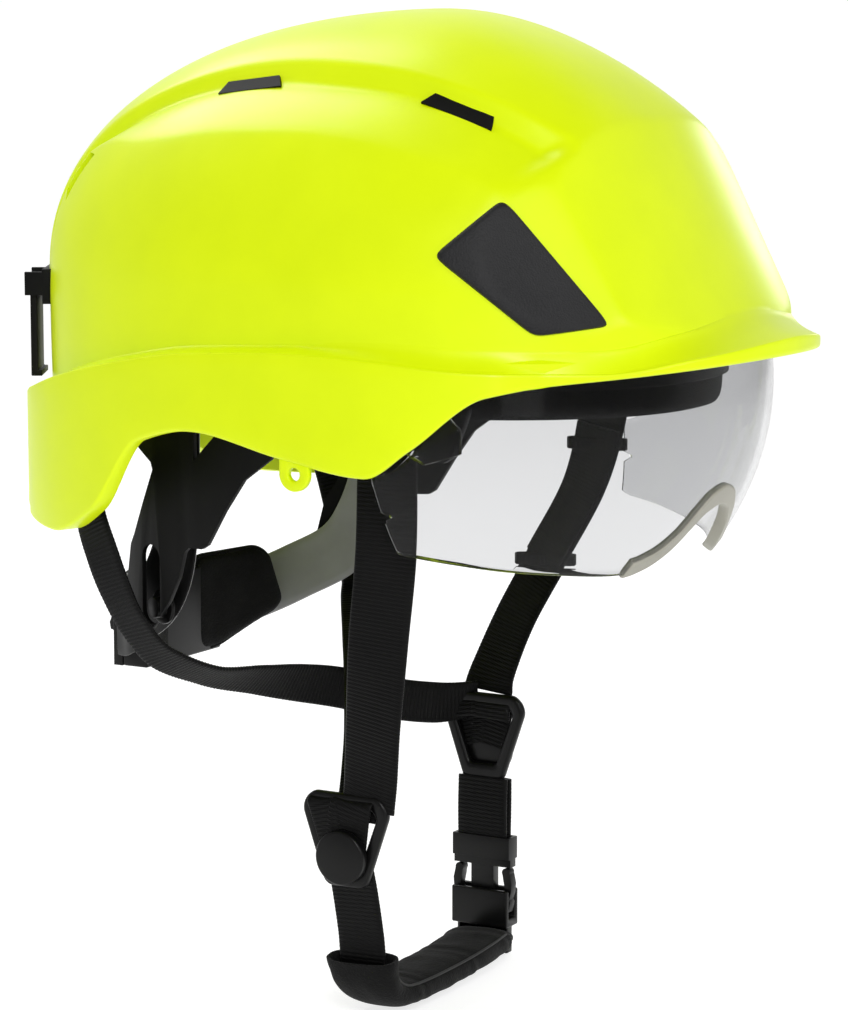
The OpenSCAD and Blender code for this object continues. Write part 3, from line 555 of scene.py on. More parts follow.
def make_shell():
    cols = 520
    az = np.arange(cols) * 360.0 / cols
    wall, off = wall_r(az), belt_off(az)
    part = brim_part(az)
    drop = curve(DROP_LINE, fold(az))
    low, high = rim_z(az), belt_z(az)
    edge = high - drop
    out_r = wall + off
    el0 = np.degrees(np.arctan2(high - DOME_Z, wall))
    rows = []
    for inset, up in ((1.3, 0.0), (0.75, 0.12), (0.3, 0.42), (0.07, 0.85), (0.0, 1.4)):
        rows.append(ring_pt(az, out_r - inset, low + up))
    for k in range(1, 8):
        rows.append(ring_pt(az, out_r, mix(low + 1.4, edge - 1.0, k / 7)))
    for inset, down in ((0.1, 0.5), (0.35, 0.16), (0.75, 0.02)):
        rows.append(ring_pt(az, out_r - inset, edge - down))
    first = shell_pt(az, el0)
    first_r = np.hypot(first[:, 0], first[:, 1])
    for k in range(1, 10):
        u = k / 10
        a_r, a_z = out_r - 0.75, edge
        c_r, c_z = mix(first_r, out_r, 0.16), mix(edge, high, 0.5)
        rows.append(ring_pt(
            az,
            (1 - u) ** 2 * a_r + 2 * u * (1 - u) * c_r + u * u * first_r,
            (1 - u) ** 2 * a_z + 2 * u * (1 - u) * c_z + u * u * high,
        ))
    dome_rows = 170
    for j in range(dome_rows):
        rows.append(shell_pt(az, mix(el0, 90.0, j / dome_rows)))
    outer_rows = len(rows)
    skirt = (1 - part) * (BELT_OUT - 0.6)

    def inner_wall(z):
        el = np.degrees(np.arctan2(z - DOME_Z, wall))
        p = shell_pt(az, el, -SHELL_WALL)
        return np.hypot(p[:, 0], p[:, 1])

    bottom = low + 3 * part
    rows_in = [
        ring_pt(az, inner_wall(bottom) + skirt + 0.6, bottom),
        ring_pt(az, inner_wall(bottom) + skirt + 0.1, bottom + 0.3),
        ring_pt(az, inner_wall(bottom) + skirt, bottom + 1.0),
    ]
    for k in range(1, 8):
        z = mix(bottom + 1.0, high - 4, k / 7)
        rows_in.append(ring_pt(az, inner_wall(z) + skirt, z))
    inner_rows = 44
    for j in range(inner_rows):
        rows_in.append(shell_pt(az, mix(el0, 90.0, j / inner_rows), -SHELL_WALL))
    points = np.concatenate([*rows, *rows_in])
    faces = quads(outer_rows, cols)
    start = outer_rows * cols
    for a, b, c, d in quads(len(rows_in), cols):
        faces.append((start + d, start + c, start + b, start + a))
    for i in range(cols):
        k = (i + 1) % cols
        faces.append((k, i, start + i, start + k))
    top, under = len(points), len(points) + 1
    points = np.concatenate([
        points, [[0, 0, DOME_Z + DOME_UP]], [[0, 0, DOME_Z + DOME_UP - SHELL_WALL]]
    ])
    last, last_in = (outer_rows - 1) * cols, start + (len(rows_in) - 1) * cols
    for i in range(cols):
        k = (i + 1) % cols
        faces.append((last + i, last + k, top))
        faces.append((last_in + k, last_in + i, under))
    return points, faces


VENTS = [
    [[63.2, 25.6, 77.1], [63.9, 49.1, 74.3]],
    [[60.5, -26.7, 72.4], [59.3, -51.4, 63.8]],
    [[66.5, 94.4, 51], [66.5, 107.2, 35.5]],
]
VENT_LOW = 1.6
VENT_HIGH = 3.4
VENT_SLANT = 2.2


def vent_blocks(name, near, far, grow):
    """One mesh with a slanted block for each of the six vents, from near to far along each one's depth."""
    bm = bmesh.new()
    for start, end in VENTS:
        for side in (1, -1):
            a = np.array(start, float) * [side, 1, 1]
            b = np.array(end, float) * [side, 1, 1]
            mid = (a + b) / 2
            along = unit(b - a)
            across = unit(np.cross(along, unit(mid - CENTRE)))
            out = np.cross(across, along)
            half = np.linalg.norm(b - a) / 2
            corners = []
            for depth in (far, near):
                wide, narrow = half + grow, half - VENT_SLANT + grow
                for u, v in ((-wide, -1), (wide, -1), (narrow, 1), (-narrow, 1)):
                    up = across if across[2] > 0 else -across
                    reach = VENT_HIGH + grow if v > 0 else -VENT_LOW - grow
                    corners.append(bm.verts.new((mid + along * u + up * reach + out * depth) * MM))
            for f in ((0, 1, 2, 3), (7, 6, 5, 4), (0, 4, 5, 1), (1, 5, 6, 2), (2, 6, 7, 3), (3, 7, 4, 0)):
                bm.faces.new([corners[i] for i in f])
    bmesh.ops.recalc_face_normals(bm, faces=bm.faces)
    mesh = bpy.data.meshes.new(name)
    bm.to_mesh(mesh)
    bm.free()
    return mesh


def cut(o, cutter):
    """Takes the cutter out of o, and removes the cutter."""
    m = o.modifiers.new("cut", "BOOLEAN")
    m.operation = "DIFFERENCE"
    m.solver = "EXACT"
    m.object = cutter
    graph = bpy.context.evaluated_depsgraph_get()
    mesh = bpy.data.meshes.new_from_object(o.evaluated_get(graph))
    o.modifiers.remove(m)
    old = o.data
    o.data = mesh
    bpy.data.meshes.remove(old)
    bpy.data.objects.remove(cutter)
    return o


shell_points, shell_faces = make_shell()
shell = piece("shell_smooth", shell_points, shell_faces, SHELL, "helmet", ["shell"], 30.0, False)
cutter = bpy.data.objects.new("vent_cutter", vent_blocks("vent_cutter", 15.0, -15.0, 0.0))
bpy.context.scene.collection.objects.link(cutter)
cut(shell, cutter)
shade(shell.data, 30.0)
shell.data.materials.clear()
shell.data.materials.append(SHELL)


# Black blocks sunk into the cut vent holes: painted shade, so that the openings read dark.
place("vent_painted_shade", vent_blocks("vent_painted_shade", -0.5, -1.9, 0.15), BLACK, "helmet", ())


# ---------- CAD pieces with their edges rounded ----------

def polished(node, material, bevel=0.5, segments=3, angle=35.0):
    """A copy of a CAD node with rounded edges, which stands for it."""
    bm = bmesh.new()
    bm.from_mesh(frame["nodes"][node].data)
    bmesh.ops.remove_doubles(bm, verts=bm.verts, dist=2e-6)
    bmesh.ops.dissolve_limit(bm, angle_limit=math.radians(0.6), verts=bm.verts, edges=bm.edges)
    sharp = [e for e in bm.edges if len(e.link_faces) == 2 and e.calc_face_angle(0.0) > math.radians(angle)]
    if bevel and sharp:
        bmesh.ops.bevel(bm, geom=sharp, offset=bevel * MM, offset_type="OFFSET", segments=segments,
                        profile=0.5, affect="EDGES", clamp_overlap=True)
    mesh = bpy.data.meshes.new(node + "_rounded")
    bm.to_mesh(mesh)
    bm.free()
    shade(mesh, 40.0)
    return place(node + "_rounded", mesh, material, body_of_node(node), [node])


for side in ("right", "left"):
    polished("accessory_lug_" + side, SHELL, 0.6, 3)
    polished("clip_mount_" + side, BLACK, 0.5, 2)
    polished("lamp_clip_" + side, BLACK, 0.6, 3)
    polished("nape_arm_" + side, BLACK, 0.6, 3, 50.0)
    polished("visor_arm_" + side, LENS, 0.5, 3)
    polished("visor_bracket_" + side, BLACK, 0.5, 3)
    polished("height_stud_" + side, SATIN, 0.4, 2)
    polished("rack_" + side, SATIN, 0.12, 1)
for name, material, bevel, slot in (
    ("strap_anchors", BLACK, 0.8, "black_plastic"),
    ("headband", BLACK, 0.4, "black_plastic"),
    ("cradle_clips", BLACK, 0.7, "black_plastic"),
    ("ratchet_housing", SATIN, 0.9, "black_plastic"),
    ("ratchet_cover", SATIN, 0.9, "black_plastic"),
    ("ratchet_pinion", SATIN, 0.12, "black_plastic"),
    ("ratchet_dial", RUBBER, 0.8, "soft_grip"),
    ("lock_disc_right", SATIN, 0.9, "black_plastic"),
    ("lock_disc_left", SATIN, 0.9, "black_plastic"),
    ("male_buckle", SATIN, 0.5, "black_plastic"),
    ("prong_front", SATIN, 0.5, "black_plastic"),
    ("prong_rear", SATIN, 0.5, "black_plastic"),
    ("female_buckle", SATIN, 0.6, "black_plastic"),
):
    polished(name, material, bevel, 3)


# ---------- webbing ----------

RIB = 1.45
RIB_HEIGHT = 0.26


def strap_path(route, sides, step):
    """Points, lengthwise, width and thickness directions along a strap, evenly spaced in mm."""
    t = np.linspace(0, len(route) - 1, 1200)
    p = catmull(route, t)
    length = np.concatenate([[0], np.cumsum(np.linalg.norm(np.diff(p, axis=0), axis=1))])
    n = max(8, int(length[-1] / step))
    s = np.linspace(0, length[-1], n)
    t = np.interp(s, length, t)
    p = catmull(route, t)
    ahead, behind = np.minimum(len(route) - 1, t + 0.05), np.maximum(0, t - 0.05)
    along = unit(catmull(route, ahead) - catmull(route, behind))
    raw = catmull(sides, t)
    across = unit(raw - along * (raw * along).sum(1, keepdims=True))
    out = np.cross(across, along)
    return s, p, along, across, out


def strap_section(width, thick, ribbed):
    """Points round a strap's cross section, and how much each stands out on a rib."""
    half_w, half_t = width / 2, thick / 2
    outline, weight = [], []
    flat = np.linspace(-1, 1, 9)
    for x in flat:
        outline.append((x * (half_w - half_t * 0.8), half_t))
        weight.append(1.0)
    for a in (60, 30, 0, -30, -60):
        r = math.radians(a)
        outline.append((half_w - half_t * 0.8 + half_t * 0.8 * math.cos(r), half_t * 0.85 * math.sin(r)))
        weight.append(0.5)
    for x in -flat:
        outline.append((x * (half_w - half_t * 0.8), -half_t))
        weight.append(1.0)
    for a in (-120, -150, 180, 150, 120):
        r = math.radians(a)
        outline.append((-half_w + half_t * 0.8 + half_t * 0.8 * math.cos(r), half_t * 0.85 * math.sin(r)))
        weight.append(0.5)
    return np.array(outline), np.array(weight) * (RIB_HEIGHT if ribbed else 0.0)


def webbing(name, route, sides, width, thick=1.6, body="helmet", stands_for=(),
            ribbed=True, lift=0.0, trim=(0.0, 0.0), material=None):
    """A strap with real cross ribs. lift moves it off the route, trim cuts mm from its two ends."""
    s, p, along, across, out = strap_path(route, sides, 0.36 if ribbed else 1.2)
    keep = (s >= trim[0]) & (s <= s[-1] - trim[1])
    s, p, along, across, out = s[keep], p[keep], along[keep], across[keep], out[keep]
    section, weight = strap_section(width, thick, ribbed)
    wave = 0.5 - 0.5 * np.cos(2 * np.pi * s / RIB)
    rings = []
    for k in range(len(s)):
        z = section[:, 1] + np.sign(section[:, 1]) * weight * (wave[k] - 0.5) + lift
        rings.append(p[k] + section[:, :1] * across[k] + z[:, None] * out[k])
    cols = len(section)
    faces = quads(len(rings), cols)
    faces.append(tuple(range(cols - 1, -1, -1)))
    faces.append(tuple((len(rings) - 1) * cols + i for i in range(cols)))
    mesh = bpy.data.meshes.new(name)
    mesh.from_pydata([tuple(v) for v in np.concatenate(rings) * MM], [], faces)
    flat = mesh.uv_layers.new(name="flat")
    index = np.zeros(len(mesh.loops), int)
    mesh.loops.foreach_get("vertex_index", index)
    u, v = section[index % cols, 0], s[np.minimum(index // cols, len(s) - 1)]
    flat.data.foreach_set("uv", np.stack([u, v], 1).astype(np.float32).ravel())
    outward(mesh)
    shade(mesh, 60.0)
    return place(name, mesh, material or WEB, body, stands_for)


FRONT_RIGHT = [
    [-78.2, -23, -27], [-79, -23.8, -44], [-76, -21.5, -73], [-69, -14.4, -104], [-62, -8.2, -132],
    [-55.2, -3.1, -154], [-54, -1.5, -164],
]
FRONT_RIGHT_SIDES = [
    [0, -1, 0], [0.25, -0.95, 0], [0.4, -0.9, 0], [0.3, -0.95, 0], [0.05, -1, 0], [0, -1, 0], [0, -1, 0],
]
FRONT_LEFT = [
    [78.6, -22, -27], [78.4, -20.5, -46], [76, -14.9, -70], [69, -4, -95], [62, 5.6, -117],
    [54.4, 10.7, -136], [52, 11.6, -143.6],
]
FRONT_LEFT_SIDES = [
    [0, -1, 0], [-0.1, -0.98, 0], [-0.25, -0.97, 0], [-0.25, -0.97, 0], [-0.25, -0.97, 0],
    [-0.15, -0.98, 0], [0, -1, 0],
]
REAR_RIGHT = [
    [-75, 96, -55], [-77.5, 93.5, -69], [-78.5, 88.2, -82], [-77, 84, -94], [-74, 79, -106],
    [-65, 73.6, -118], [-46, 67, -126.8], [-24, 61, -131.3], [-6, 55.4, -135], [10, 48.5, -138.8],
    [29, 37, -145], [41, 28.5, -147.6], [47, 23, -147.8], [52.4, 16, -147],
]
REAR_RIGHT_SIDES = [
    [0.45, 0.9, 0], [0.25, 0.95, -0.1], [0.15, 0.95, -0.3], [0.2, 0.9, -0.4], [0.35, 0.75, -0.6],
    [0.5, 0.6, -0.6], [0.55, 0.6, -0.5], [0.4, 0.5, -0.7], [0.2, 0.3, -0.9], [0.1, 0.1, -1],
    [0, 0, -1], [0, 0, -1], [0, 0.3, -0.95], [0, 0.5, -0.85],
]
REAR_LEFT = [
    [73, 95, -55], [77, 91.3, -71.3], [77, 86.4, -89], [76.3, 81, -102.5], [70.5, 75.9, -111.5],
    [58.8, 69.2, -115.5], [38, 56, -122.5], [15, 41.6, -131], [-5, 29.2, -139], [-24, 17.6, -147],
    [-40, 9, -154], [-51.9, 3.5, -162],
]
REAR_LEFT_SIDES = [
    [-0.8, 0.55, 0], [-0.5, 0.85, 0], [-0.3, 0.95, 0.1], [-0.3, 0.95, 0.1], [-0.3, 0.9, 0.2],
    [-0.4, 0.85, 0.1], [-0.5, 0.85, 0], [-0.5, 0.8, 0.2], [-0.5, 0.8, 0.2], [-0.4, 0.9, 0.1],
    [-0.2, 1, 0], [0, 1, 0],
]
CHIN = [
    [-52.2, 7, -184], [-50, 6.3, -194], [-47.6, 5.4, -209], [-46, 5, -221], [-41, 4.5, -229.5],
    [-28, 3.5, -232.6], [8, 3, -232], [32, 4.5, -231], [43, 8, -232], [48.2, 11, -233.6],
]
CHIN_SIDES = [[0, -1, 0]] * len(CHIN)
WEB_W = 20.0
REAR_W = 15.0

webbing("front_webbing_right", FRONT_RIGHT, FRONT_RIGHT_SIDES, WEB_W, stands_for=["front_strap_right"])
webbing("rear_webbing_left", REAR_LEFT, REAR_LEFT_SIDES, REAR_W, stands_for=["rear_strap_left"])
webbing("chin_webbing", CHIN, CHIN_SIDES, 18.0, stands_for=["chin_strap"])

front_left = webbing("front_webbing_left", FRONT_LEFT, FRONT_LEFT_SIDES, WEB_W, body=None,
                     stands_for=["front_strap_left"])
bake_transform(front_left)
sewn = webbing("sewn_layer_left", FRONT_LEFT, FRONT_LEFT_SIDES, 18.6, 1.5, body=None, lift=-1.55,
               trim=(21.0, 52.0))
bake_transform(sewn)
rear_right = webbing("rear_webbing_right", REAR_RIGHT, REAR_RIGHT_SIDES, REAR_W, body=None,
                     stands_for=["rear_strap_right"])
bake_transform(rear_right)


def crown_straps():
    """Three webbing straps over the crown, from the clips on one side to the other."""
    for k, turn in enumerate((0, 58, 122)):
        ends = []
        for a in (turn, turn + 180):
            c, s = math.cos(math.radians(a)), math.sin(math.radians(a))
            rear = 112.0 if s >= 0 else 98.0
            ends.append((
                math.copysign((78 + 1.2) * abs(c) ** (2 / 2.2), c),
                math.copysign((rear + 1.2) * abs(s) ** (2 / 2.2), s),
            ))
        route = []
        for i in range(13):
            t = math.radians(i * 15)
            e = ends[0] if i < 6 else ends[1]
            flat = abs(math.cos(t)) ** 1.55
            route.append([e[0] * flat, e[1] * flat, 4 + (66 + k * 2.2) * math.sin(t)])
        side = unit([-ends[0][1], ends[0][0], 0])
        webbing(f"crown_strap_{k + 1}", route, [side] * 13, WEB_W, 1.4,
                stands_for=["cradle_straps"] if k == 0 else ())


crown_straps()

BAND_ROUTE = [
    [31, 115.4, -116], [36, 109.4, -115], [43, 103, -112], [51.5, 93, -106.5], [59.5, 78.5, -97.5],
    [63, 70, -84], [66.2, 65, -66], [67.8, 62.8, -45], [68.1, 62.2, -28], [68, 62, -12.8],
]
BAND_SIDES = [
    [0, 0, 1], [0, 0.05, 1], [0.1, 0.2, 1], [0.1, 0.4, 0.95], [0, 0.55, 0.85], [-0.15, 0.8, 0.55],
    [-0.3, 0.9, 0.3], [-0.38, 0.92, 0.05], [-0.4, 0.91, 0], [-0.4, 0.91, 0],
]
BAND_W = 21.0
for side, sign in (("left", 1), ("right", -1)):
    flip = np.array([sign, 1, 1])
    route, sides = np.array(BAND_ROUTE) * flip, np.array(BAND_SIDES) * flip
    band = webbing("size_band_smooth_" + side, route, sides, BAND_W, 1.3, body=None,
                   stands_for=["size_band_" + side], ribbed=False, material=GREY)
    band.data.materials.append(BLACK)
    for f in band.data.polygons:
        rearward = 0.6 if f.center.y > 0.07 else 0.2
        if f.normal.x * f.center.x / abs(f.center.x) + f.normal.y * rearward > 0:
            f.material_index = 1
    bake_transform(band)


# ---------- visor ----------

PIVOT_Y, PIVOT_Z = -20.0, -24.0
LENS_HALF_W = 92.5
LENS_REACH = 91.5
LENS_N = 2.2
LENS_T = 2.2
LENS_END = 77.0
LENS_TOP = [[0, 1], [50, 0], [70, -6], [93, -14]]
LENS_LOW = [
    [0, -60], [8, -62], [14, -67], [20, -74.5], [27, -79.5], [34, -81.5], [56, -79.5], [66, -78], [75, -75.5],
    [82.6, -71], [85.5, -64.7], [86.3, -60.5], [87.8, -57.4], [89.4, -52.5], [90.6, -47.7],
]


def lens_x(t, w):
    s = np.sin(np.radians(t))
    return np.sign(s) * w * np.abs(s) ** (2 / LENS_N)


def lens_len(t, r):
    return r * np.cos(np.radians(t)) ** (2 / LENS_N)


def lens_pt(t, a, off):
    r = lens_len(t, LENS_REACH + off)
    a = np.radians(a)
    return np.stack([lens_x(t, LENS_HALF_W + off), PIVOT_Y - r * np.cos(a), PIVOT_Z + r * np.sin(a)], -1)


def lens_low_a(t):
    r = lens_len(t, LENS_REACH)
    z = curve(LENS_LOW, np.abs(lens_x(t, LENS_HALF_W)))
    return np.degrees(np.arcsin(np.maximum(-0.985, (z - PIVOT_Z) / r)))


def lens_top_a(t):
    r = lens_len(t, LENS_REACH)
    z = curve(LENS_TOP, np.abs(lens_x(t, LENS_HALF_W)))
    return np.degrees(np.arcsin(np.minimum(0.6, (z - PIVOT_Z) / r)))


def lens_sheet(name, t0, t1, cols, rows, layers, low_add, high_add, material, node):
    """A curved band of lens with a rounded rim: layers are (offset, shrink in mm) from outside to inside."""
    t = np.linspace(t0, t1, cols)
    low = lens_low_a(t)
    top = lens_top_a(t) if high_add is None else low + high_add
    low = low + low_add
    rings = []
    for off, shrink in layers:
        step = shrink / np.maximum(8.0, lens_len(t, LENS_REACH)) * 57.3
        end = shrink / LENS_REACH * 57.3
        tt = np.linspace(t0 + end, t1 - end, cols)
        grid = [lens_pt(tt, mix(low + step, top - step, j / (rows - 1)), off) for j in range(rows)]
        rings.append(np.array(grid))
    size = rows * cols
    points = [rings[0].reshape(-1, 3), rings[-1].reshape(-1, 3)]
    faces = two_sided(rows, cols)
    rim = grid_rim(rows, cols)
    previous, count = rim, 2 * size
    for ring in rings[1:-1]:
        points.append(ring.reshape(-1, 3)[rim])
        now = list(range(count, count + len(rim)))
        count += len(rim)
        faces += loop_faces(previous, now)
        previous = now
    faces += loop_faces(previous, [size + i for i in rim])
    return piece(name, np.concatenate(points), faces, material, "visor", [node], 50.0)


lens_sheet(
    "visor_clear", -LENS_END, LENS_END, 190, 40,
    [(0.0, 0.5), (-0.25, 0.12), (-0.7, 0.0), (-LENS_T + 0.7, 0.0), (-LENS_T + 0.25, 0.12), (-LENS_T, 0.5)],
    0.0, None, LENS, "visor_lens",
)
lens_sheet(
    "nose_strip", -19.0, 19.0, 110, 14,
    [(0.5, 1.0), (0.3, 0.4), (-0.3, 0.0), (-LENS_T - 0.6, 0.0), (-LENS_T - 1.0, 0.4), (-LENS_T - 1.2, 1.0)],
    -0.7, 4.0, NOSE, "nose_bridge",
)


# ---------- side pads ----------

PAD_CORNERS = np.array([[-79, -66, 43], [-66.5, -99, 2.2], [-83, -79, -0.3], [-94.5, -48.8, 24.6]], float)


def side_pad(side, sign):
    """A plate that follows the shell, with rounded corners and a rolled lip."""
    n = 44
    grid = np.linspace(-1, 1, n)
    s, t = np.meshgrid(grid, grid)
    m = np.maximum(np.abs(s), np.abs(t))
    power = 13.0
    round_r = (np.abs(s) ** power + np.abs(t) ** power + 1e-12) ** (-1 / power)
    k = np.where(m > 0, round_r * m, 1.0)
    u, v = (s * k + 1) / 2, (t * k + 1) / 2
    c = PAD_CORNERS
    p = mix(mix(c[0], c[1], u[..., None]), mix(c[3], c[2], u[..., None]), v[..., None])
    d = unit(p - CENTRE)
    r = shell_r(d)
    lip = np.clip((m - 0.93) / 0.07, 0, 1)
    top = CENTRE + d * (r + mix(1.15, -0.5, 1 - np.sqrt(np.maximum(0, 1 - lip**2))))[..., None]
    under = CENTRE + d * (r - 1.6)[..., None]
    points = np.concatenate([top.reshape(-1, 3), under.reshape(-1, 3)]) * [sign, 1, 1]
    rim = grid_rim(n, n)
    faces = two_sided(n, n) + loop_faces(rim, [n * n + i for i in rim])
    piece("side_pad_smooth_" + side, points, faces, PAD, "helmet", ["side_pad_" + side],
          50.0)


side_pad("right", 1)
side_pad("left", -1)


# ---------- padded pieces ----------

def wobble(p, size, seed=0.0):
    """A gentle unevenness from sums of waves, -1 to 1."""
    q = np.asarray(p, float) / size
    return (
        np.sin(q[..., 0] * 1.7 + q[..., 1] * 0.9 + seed)
        + np.sin(q[..., 1] * 2.3 - q[..., 2] * 1.1 + seed * 2.1)
        + np.sin(q[..., 2] * 1.9 + q[..., 0] * 1.3 + seed * 3.7)
    ) / 3.0


def cushion(name, outline, place_point, half, rings, material, body, node,
            power=5.0, rough=0.3, weld=0.4):
    """A crowned pad: outline points on a flat plan, place_point(plan points, height) puts them in space."""
    centre = outline.mean(0)
    cols = len(outline)
    levels = np.linspace(0, 1, rings + 1)[1:] ** 0.7
    layers = []
    for sign in (1, -1):
        rows = []
        for m in levels:
            plan = centre + (outline - centre) * m
            high = half * (1 - m**power) ** 0.5 + weld * (1 - 0.9 * smooth((m - 0.985) / 0.015))
            uneven = rough * wobble(np.column_stack([plan, plan[:, 0]]), 6.0, sign) * (1 - m**6)
            rows.append(place_point(plan, sign * (high + uneven)))
        layers.append(rows)
    faces = []
    front = np.concatenate(layers[0])
    back = np.concatenate(layers[1])
    count = len(front)
    points = np.concatenate([front, back, place_point(centre[None], np.array([half + weld])),
                             place_point(centre[None], np.array([-half - weld]))])
    for a, b, c, d in quads(rings, cols):
        faces.append((a, b, c, d))
        faces.append((count + d, count + c, count + b, count + a))
    last = (rings - 1) * cols
    for i in range(cols):
        k = (i + 1) % cols
        faces.append((k, i, 2 * count))
        faces.append((count + i, count + k, 2 * count + 1))
        faces.append((last + i, last + k, count + last + k, count + last + i))
    o = piece(name, points, faces, material, body, [node] if node else (), 60.0)
    return o


def tube(name, path, radius, material, body, closed=True, sides=8):
    """A thin round binding or seam thread along a path of points in mm."""
    p = np.asarray(path, float)
    n = len(p)
    nxt = np.roll(p, -1, 0) if closed else np.vstack([p[1:], p[-1:]])
    prv = np.roll(p, 1, 0) if closed else np.vstack([p[:1], p[:-1]])
    along = unit(nxt - prv)
    ref = np.array([0.31, 0.52, 0.79])
    a = unit(np.cross(along, ref))
    b = np.cross(along, a)
    ang = np.linspace(0, 2 * np.pi, sides, endpoint=False)
    c, s = np.cos(ang)[None, :, None], np.sin(ang)[None, :, None]
    rings = p[:, None] + radius * (c * a[:, None] + s * b[:, None])
    faces = quads(n, sides)
    if closed:
        for i in range(sides):
            k = (i + 1) % sides
            faces.append(((n - 1) * sides + i, (n - 1) * sides + k, k, i))
    else:
        faces.append(tuple(range(sides - 1, -1, -1)))
        faces.append(tuple((n - 1) * sides + i for i in range(sides)))
    return piece(name, rings.reshape(-1, 3), faces, material, body, (), 60.0)


NAPE_HALF_W, NAPE_YC, NAPE_REAR, RING_N = 74.0, 10.0, 106.0, 2.2
NAPE_PAD = [
    [8, -97], [35, -95.5], [38.5, -98.5], [42, -115], [40.5, -118.5], [30, -125.5], [20, -131], [8, -131],
]


def nape_point(plan, height):
    """A point on the curved wall behind the head, height mm outside the pad's middle."""
    x, z = plan[:, 0], plan[:, 1]
    off = -1.9 - 3.0 + np.asarray(height)
    w, r = NAPE_HALF_W + off, NAPE_REAR + off
    y = NAPE_YC + r * (1 - np.minimum(0.98, (np.abs(x) / w) ** RING_N)) ** (1 / RING_N)
    return np.column_stack([x, y, z])


for side, sign in (("left", 1), ("right", -1)):
    outline = rounded_outline(NAPE_PAD, 6.0, 6) * [sign, 1]
    cushion("nape_cushion_" + side, outline, nape_point, 2.5, 14, FOAM, "nape_carriage", "nape_pad_" + side)
    tube("nape_binding_" + side, nape_point(outline, np.zeros(len(outline))), 0.95, FOAM, "nape_carriage")

CROWN_R = 23.6
CROWN_Z = 67.4
turns = np.linspace(0, 2 * np.pi, 72, endpoint=False)
scallop = CROWN_R * (1 + 0.06 * np.cos(6 * turns))
crown_outline = np.column_stack([np.cos(turns), np.sin(turns)]) * scallop[:, None]


def crown_point(plan, height):
    """A point on the flat pad over the crown."""
    return np.column_stack([plan[:, 0], plan[:, 1], CROWN_Z + np.asarray(height) + 0 * plan[:, 0]])


cushion("crown_cushion", crown_outline, crown_point, 1.2, 12, FOAM, "helmet", "crown_pad")


BROW_LOW, BROW_HIGH = -29.5, 7.5
BROW_MID = (BROW_LOW + BROW_HIGH) / 2
BROW_START, BROW_END = 196, 344


def sweat_point(plan, height):
    """plan is (turn in degrees, height z); the pad hangs inside the front of the headband."""
    a = np.radians(plan[:, 0])
    off = -1.9 - 2.5 + np.asarray(height)
    c, s = np.cos(a), np.sin(a)
    rear = np.where(s < 0, 98.0, 112.0) + off
    x = np.sign(c) * (78 + off) * np.abs(c) ** (2 / RING_N)
    y = np.sign(s) * rear * np.abs(s) ** (2 / RING_N)
    return np.column_stack([x, y, plan[:, 1]])


def sweat_pad():
    """The brow pad: a crowned strip with sewn channels across it."""
    cols, rows = 220, 26
    turn = np.linspace(BROW_START, BROW_END, cols)
    level = np.linspace(BROW_LOW, BROW_HIGH, rows)
    points = []
    for sign in (1, -1):
        for z in level:
            edge = 1 - abs((z - BROW_MID) / 18.7) ** 6
            ends = 1 - np.abs((turn - 270) / 74.6) ** 24
            channel = np.abs(np.sin(np.radians((turn - 270) * 9.0)))
            puff = 0.55 + 0.45 * np.minimum(1, channel * 2.2) if sign < 0 else 1.0
            high = 2.3 * np.sqrt(np.maximum(0, edge)) * np.sqrt(np.maximum(0, ends)) * puff + 0.15
            points.append(sweat_point(np.column_stack([turn, np.full(cols, z)]), sign * high))
    rim = grid_rim(rows, cols)
    faces = two_sided(rows, cols) + loop_faces(rim, [rows * cols + i for i in rim])
    o = piece("brow_pad", np.concatenate(points), faces, FOAM, "helmet", ["sweatband"], 60.0)


sweat_pad()

SLEEVE = [
    [-47, 5.3, -218], [-45, 4.9, -226], [-38.5, 4.4, -231.4], [-27, 3.5, -232.8], [0, 3, -232.4],
    [22, 3.6, -231.4], [41, 6.5, -231],
]
SLEEVE_STEP = 0.9
SLEEVE_HALF_W = 12.3
SLEEVE_HALF_T = 4.9
SLEEVE_MOUTH = 14


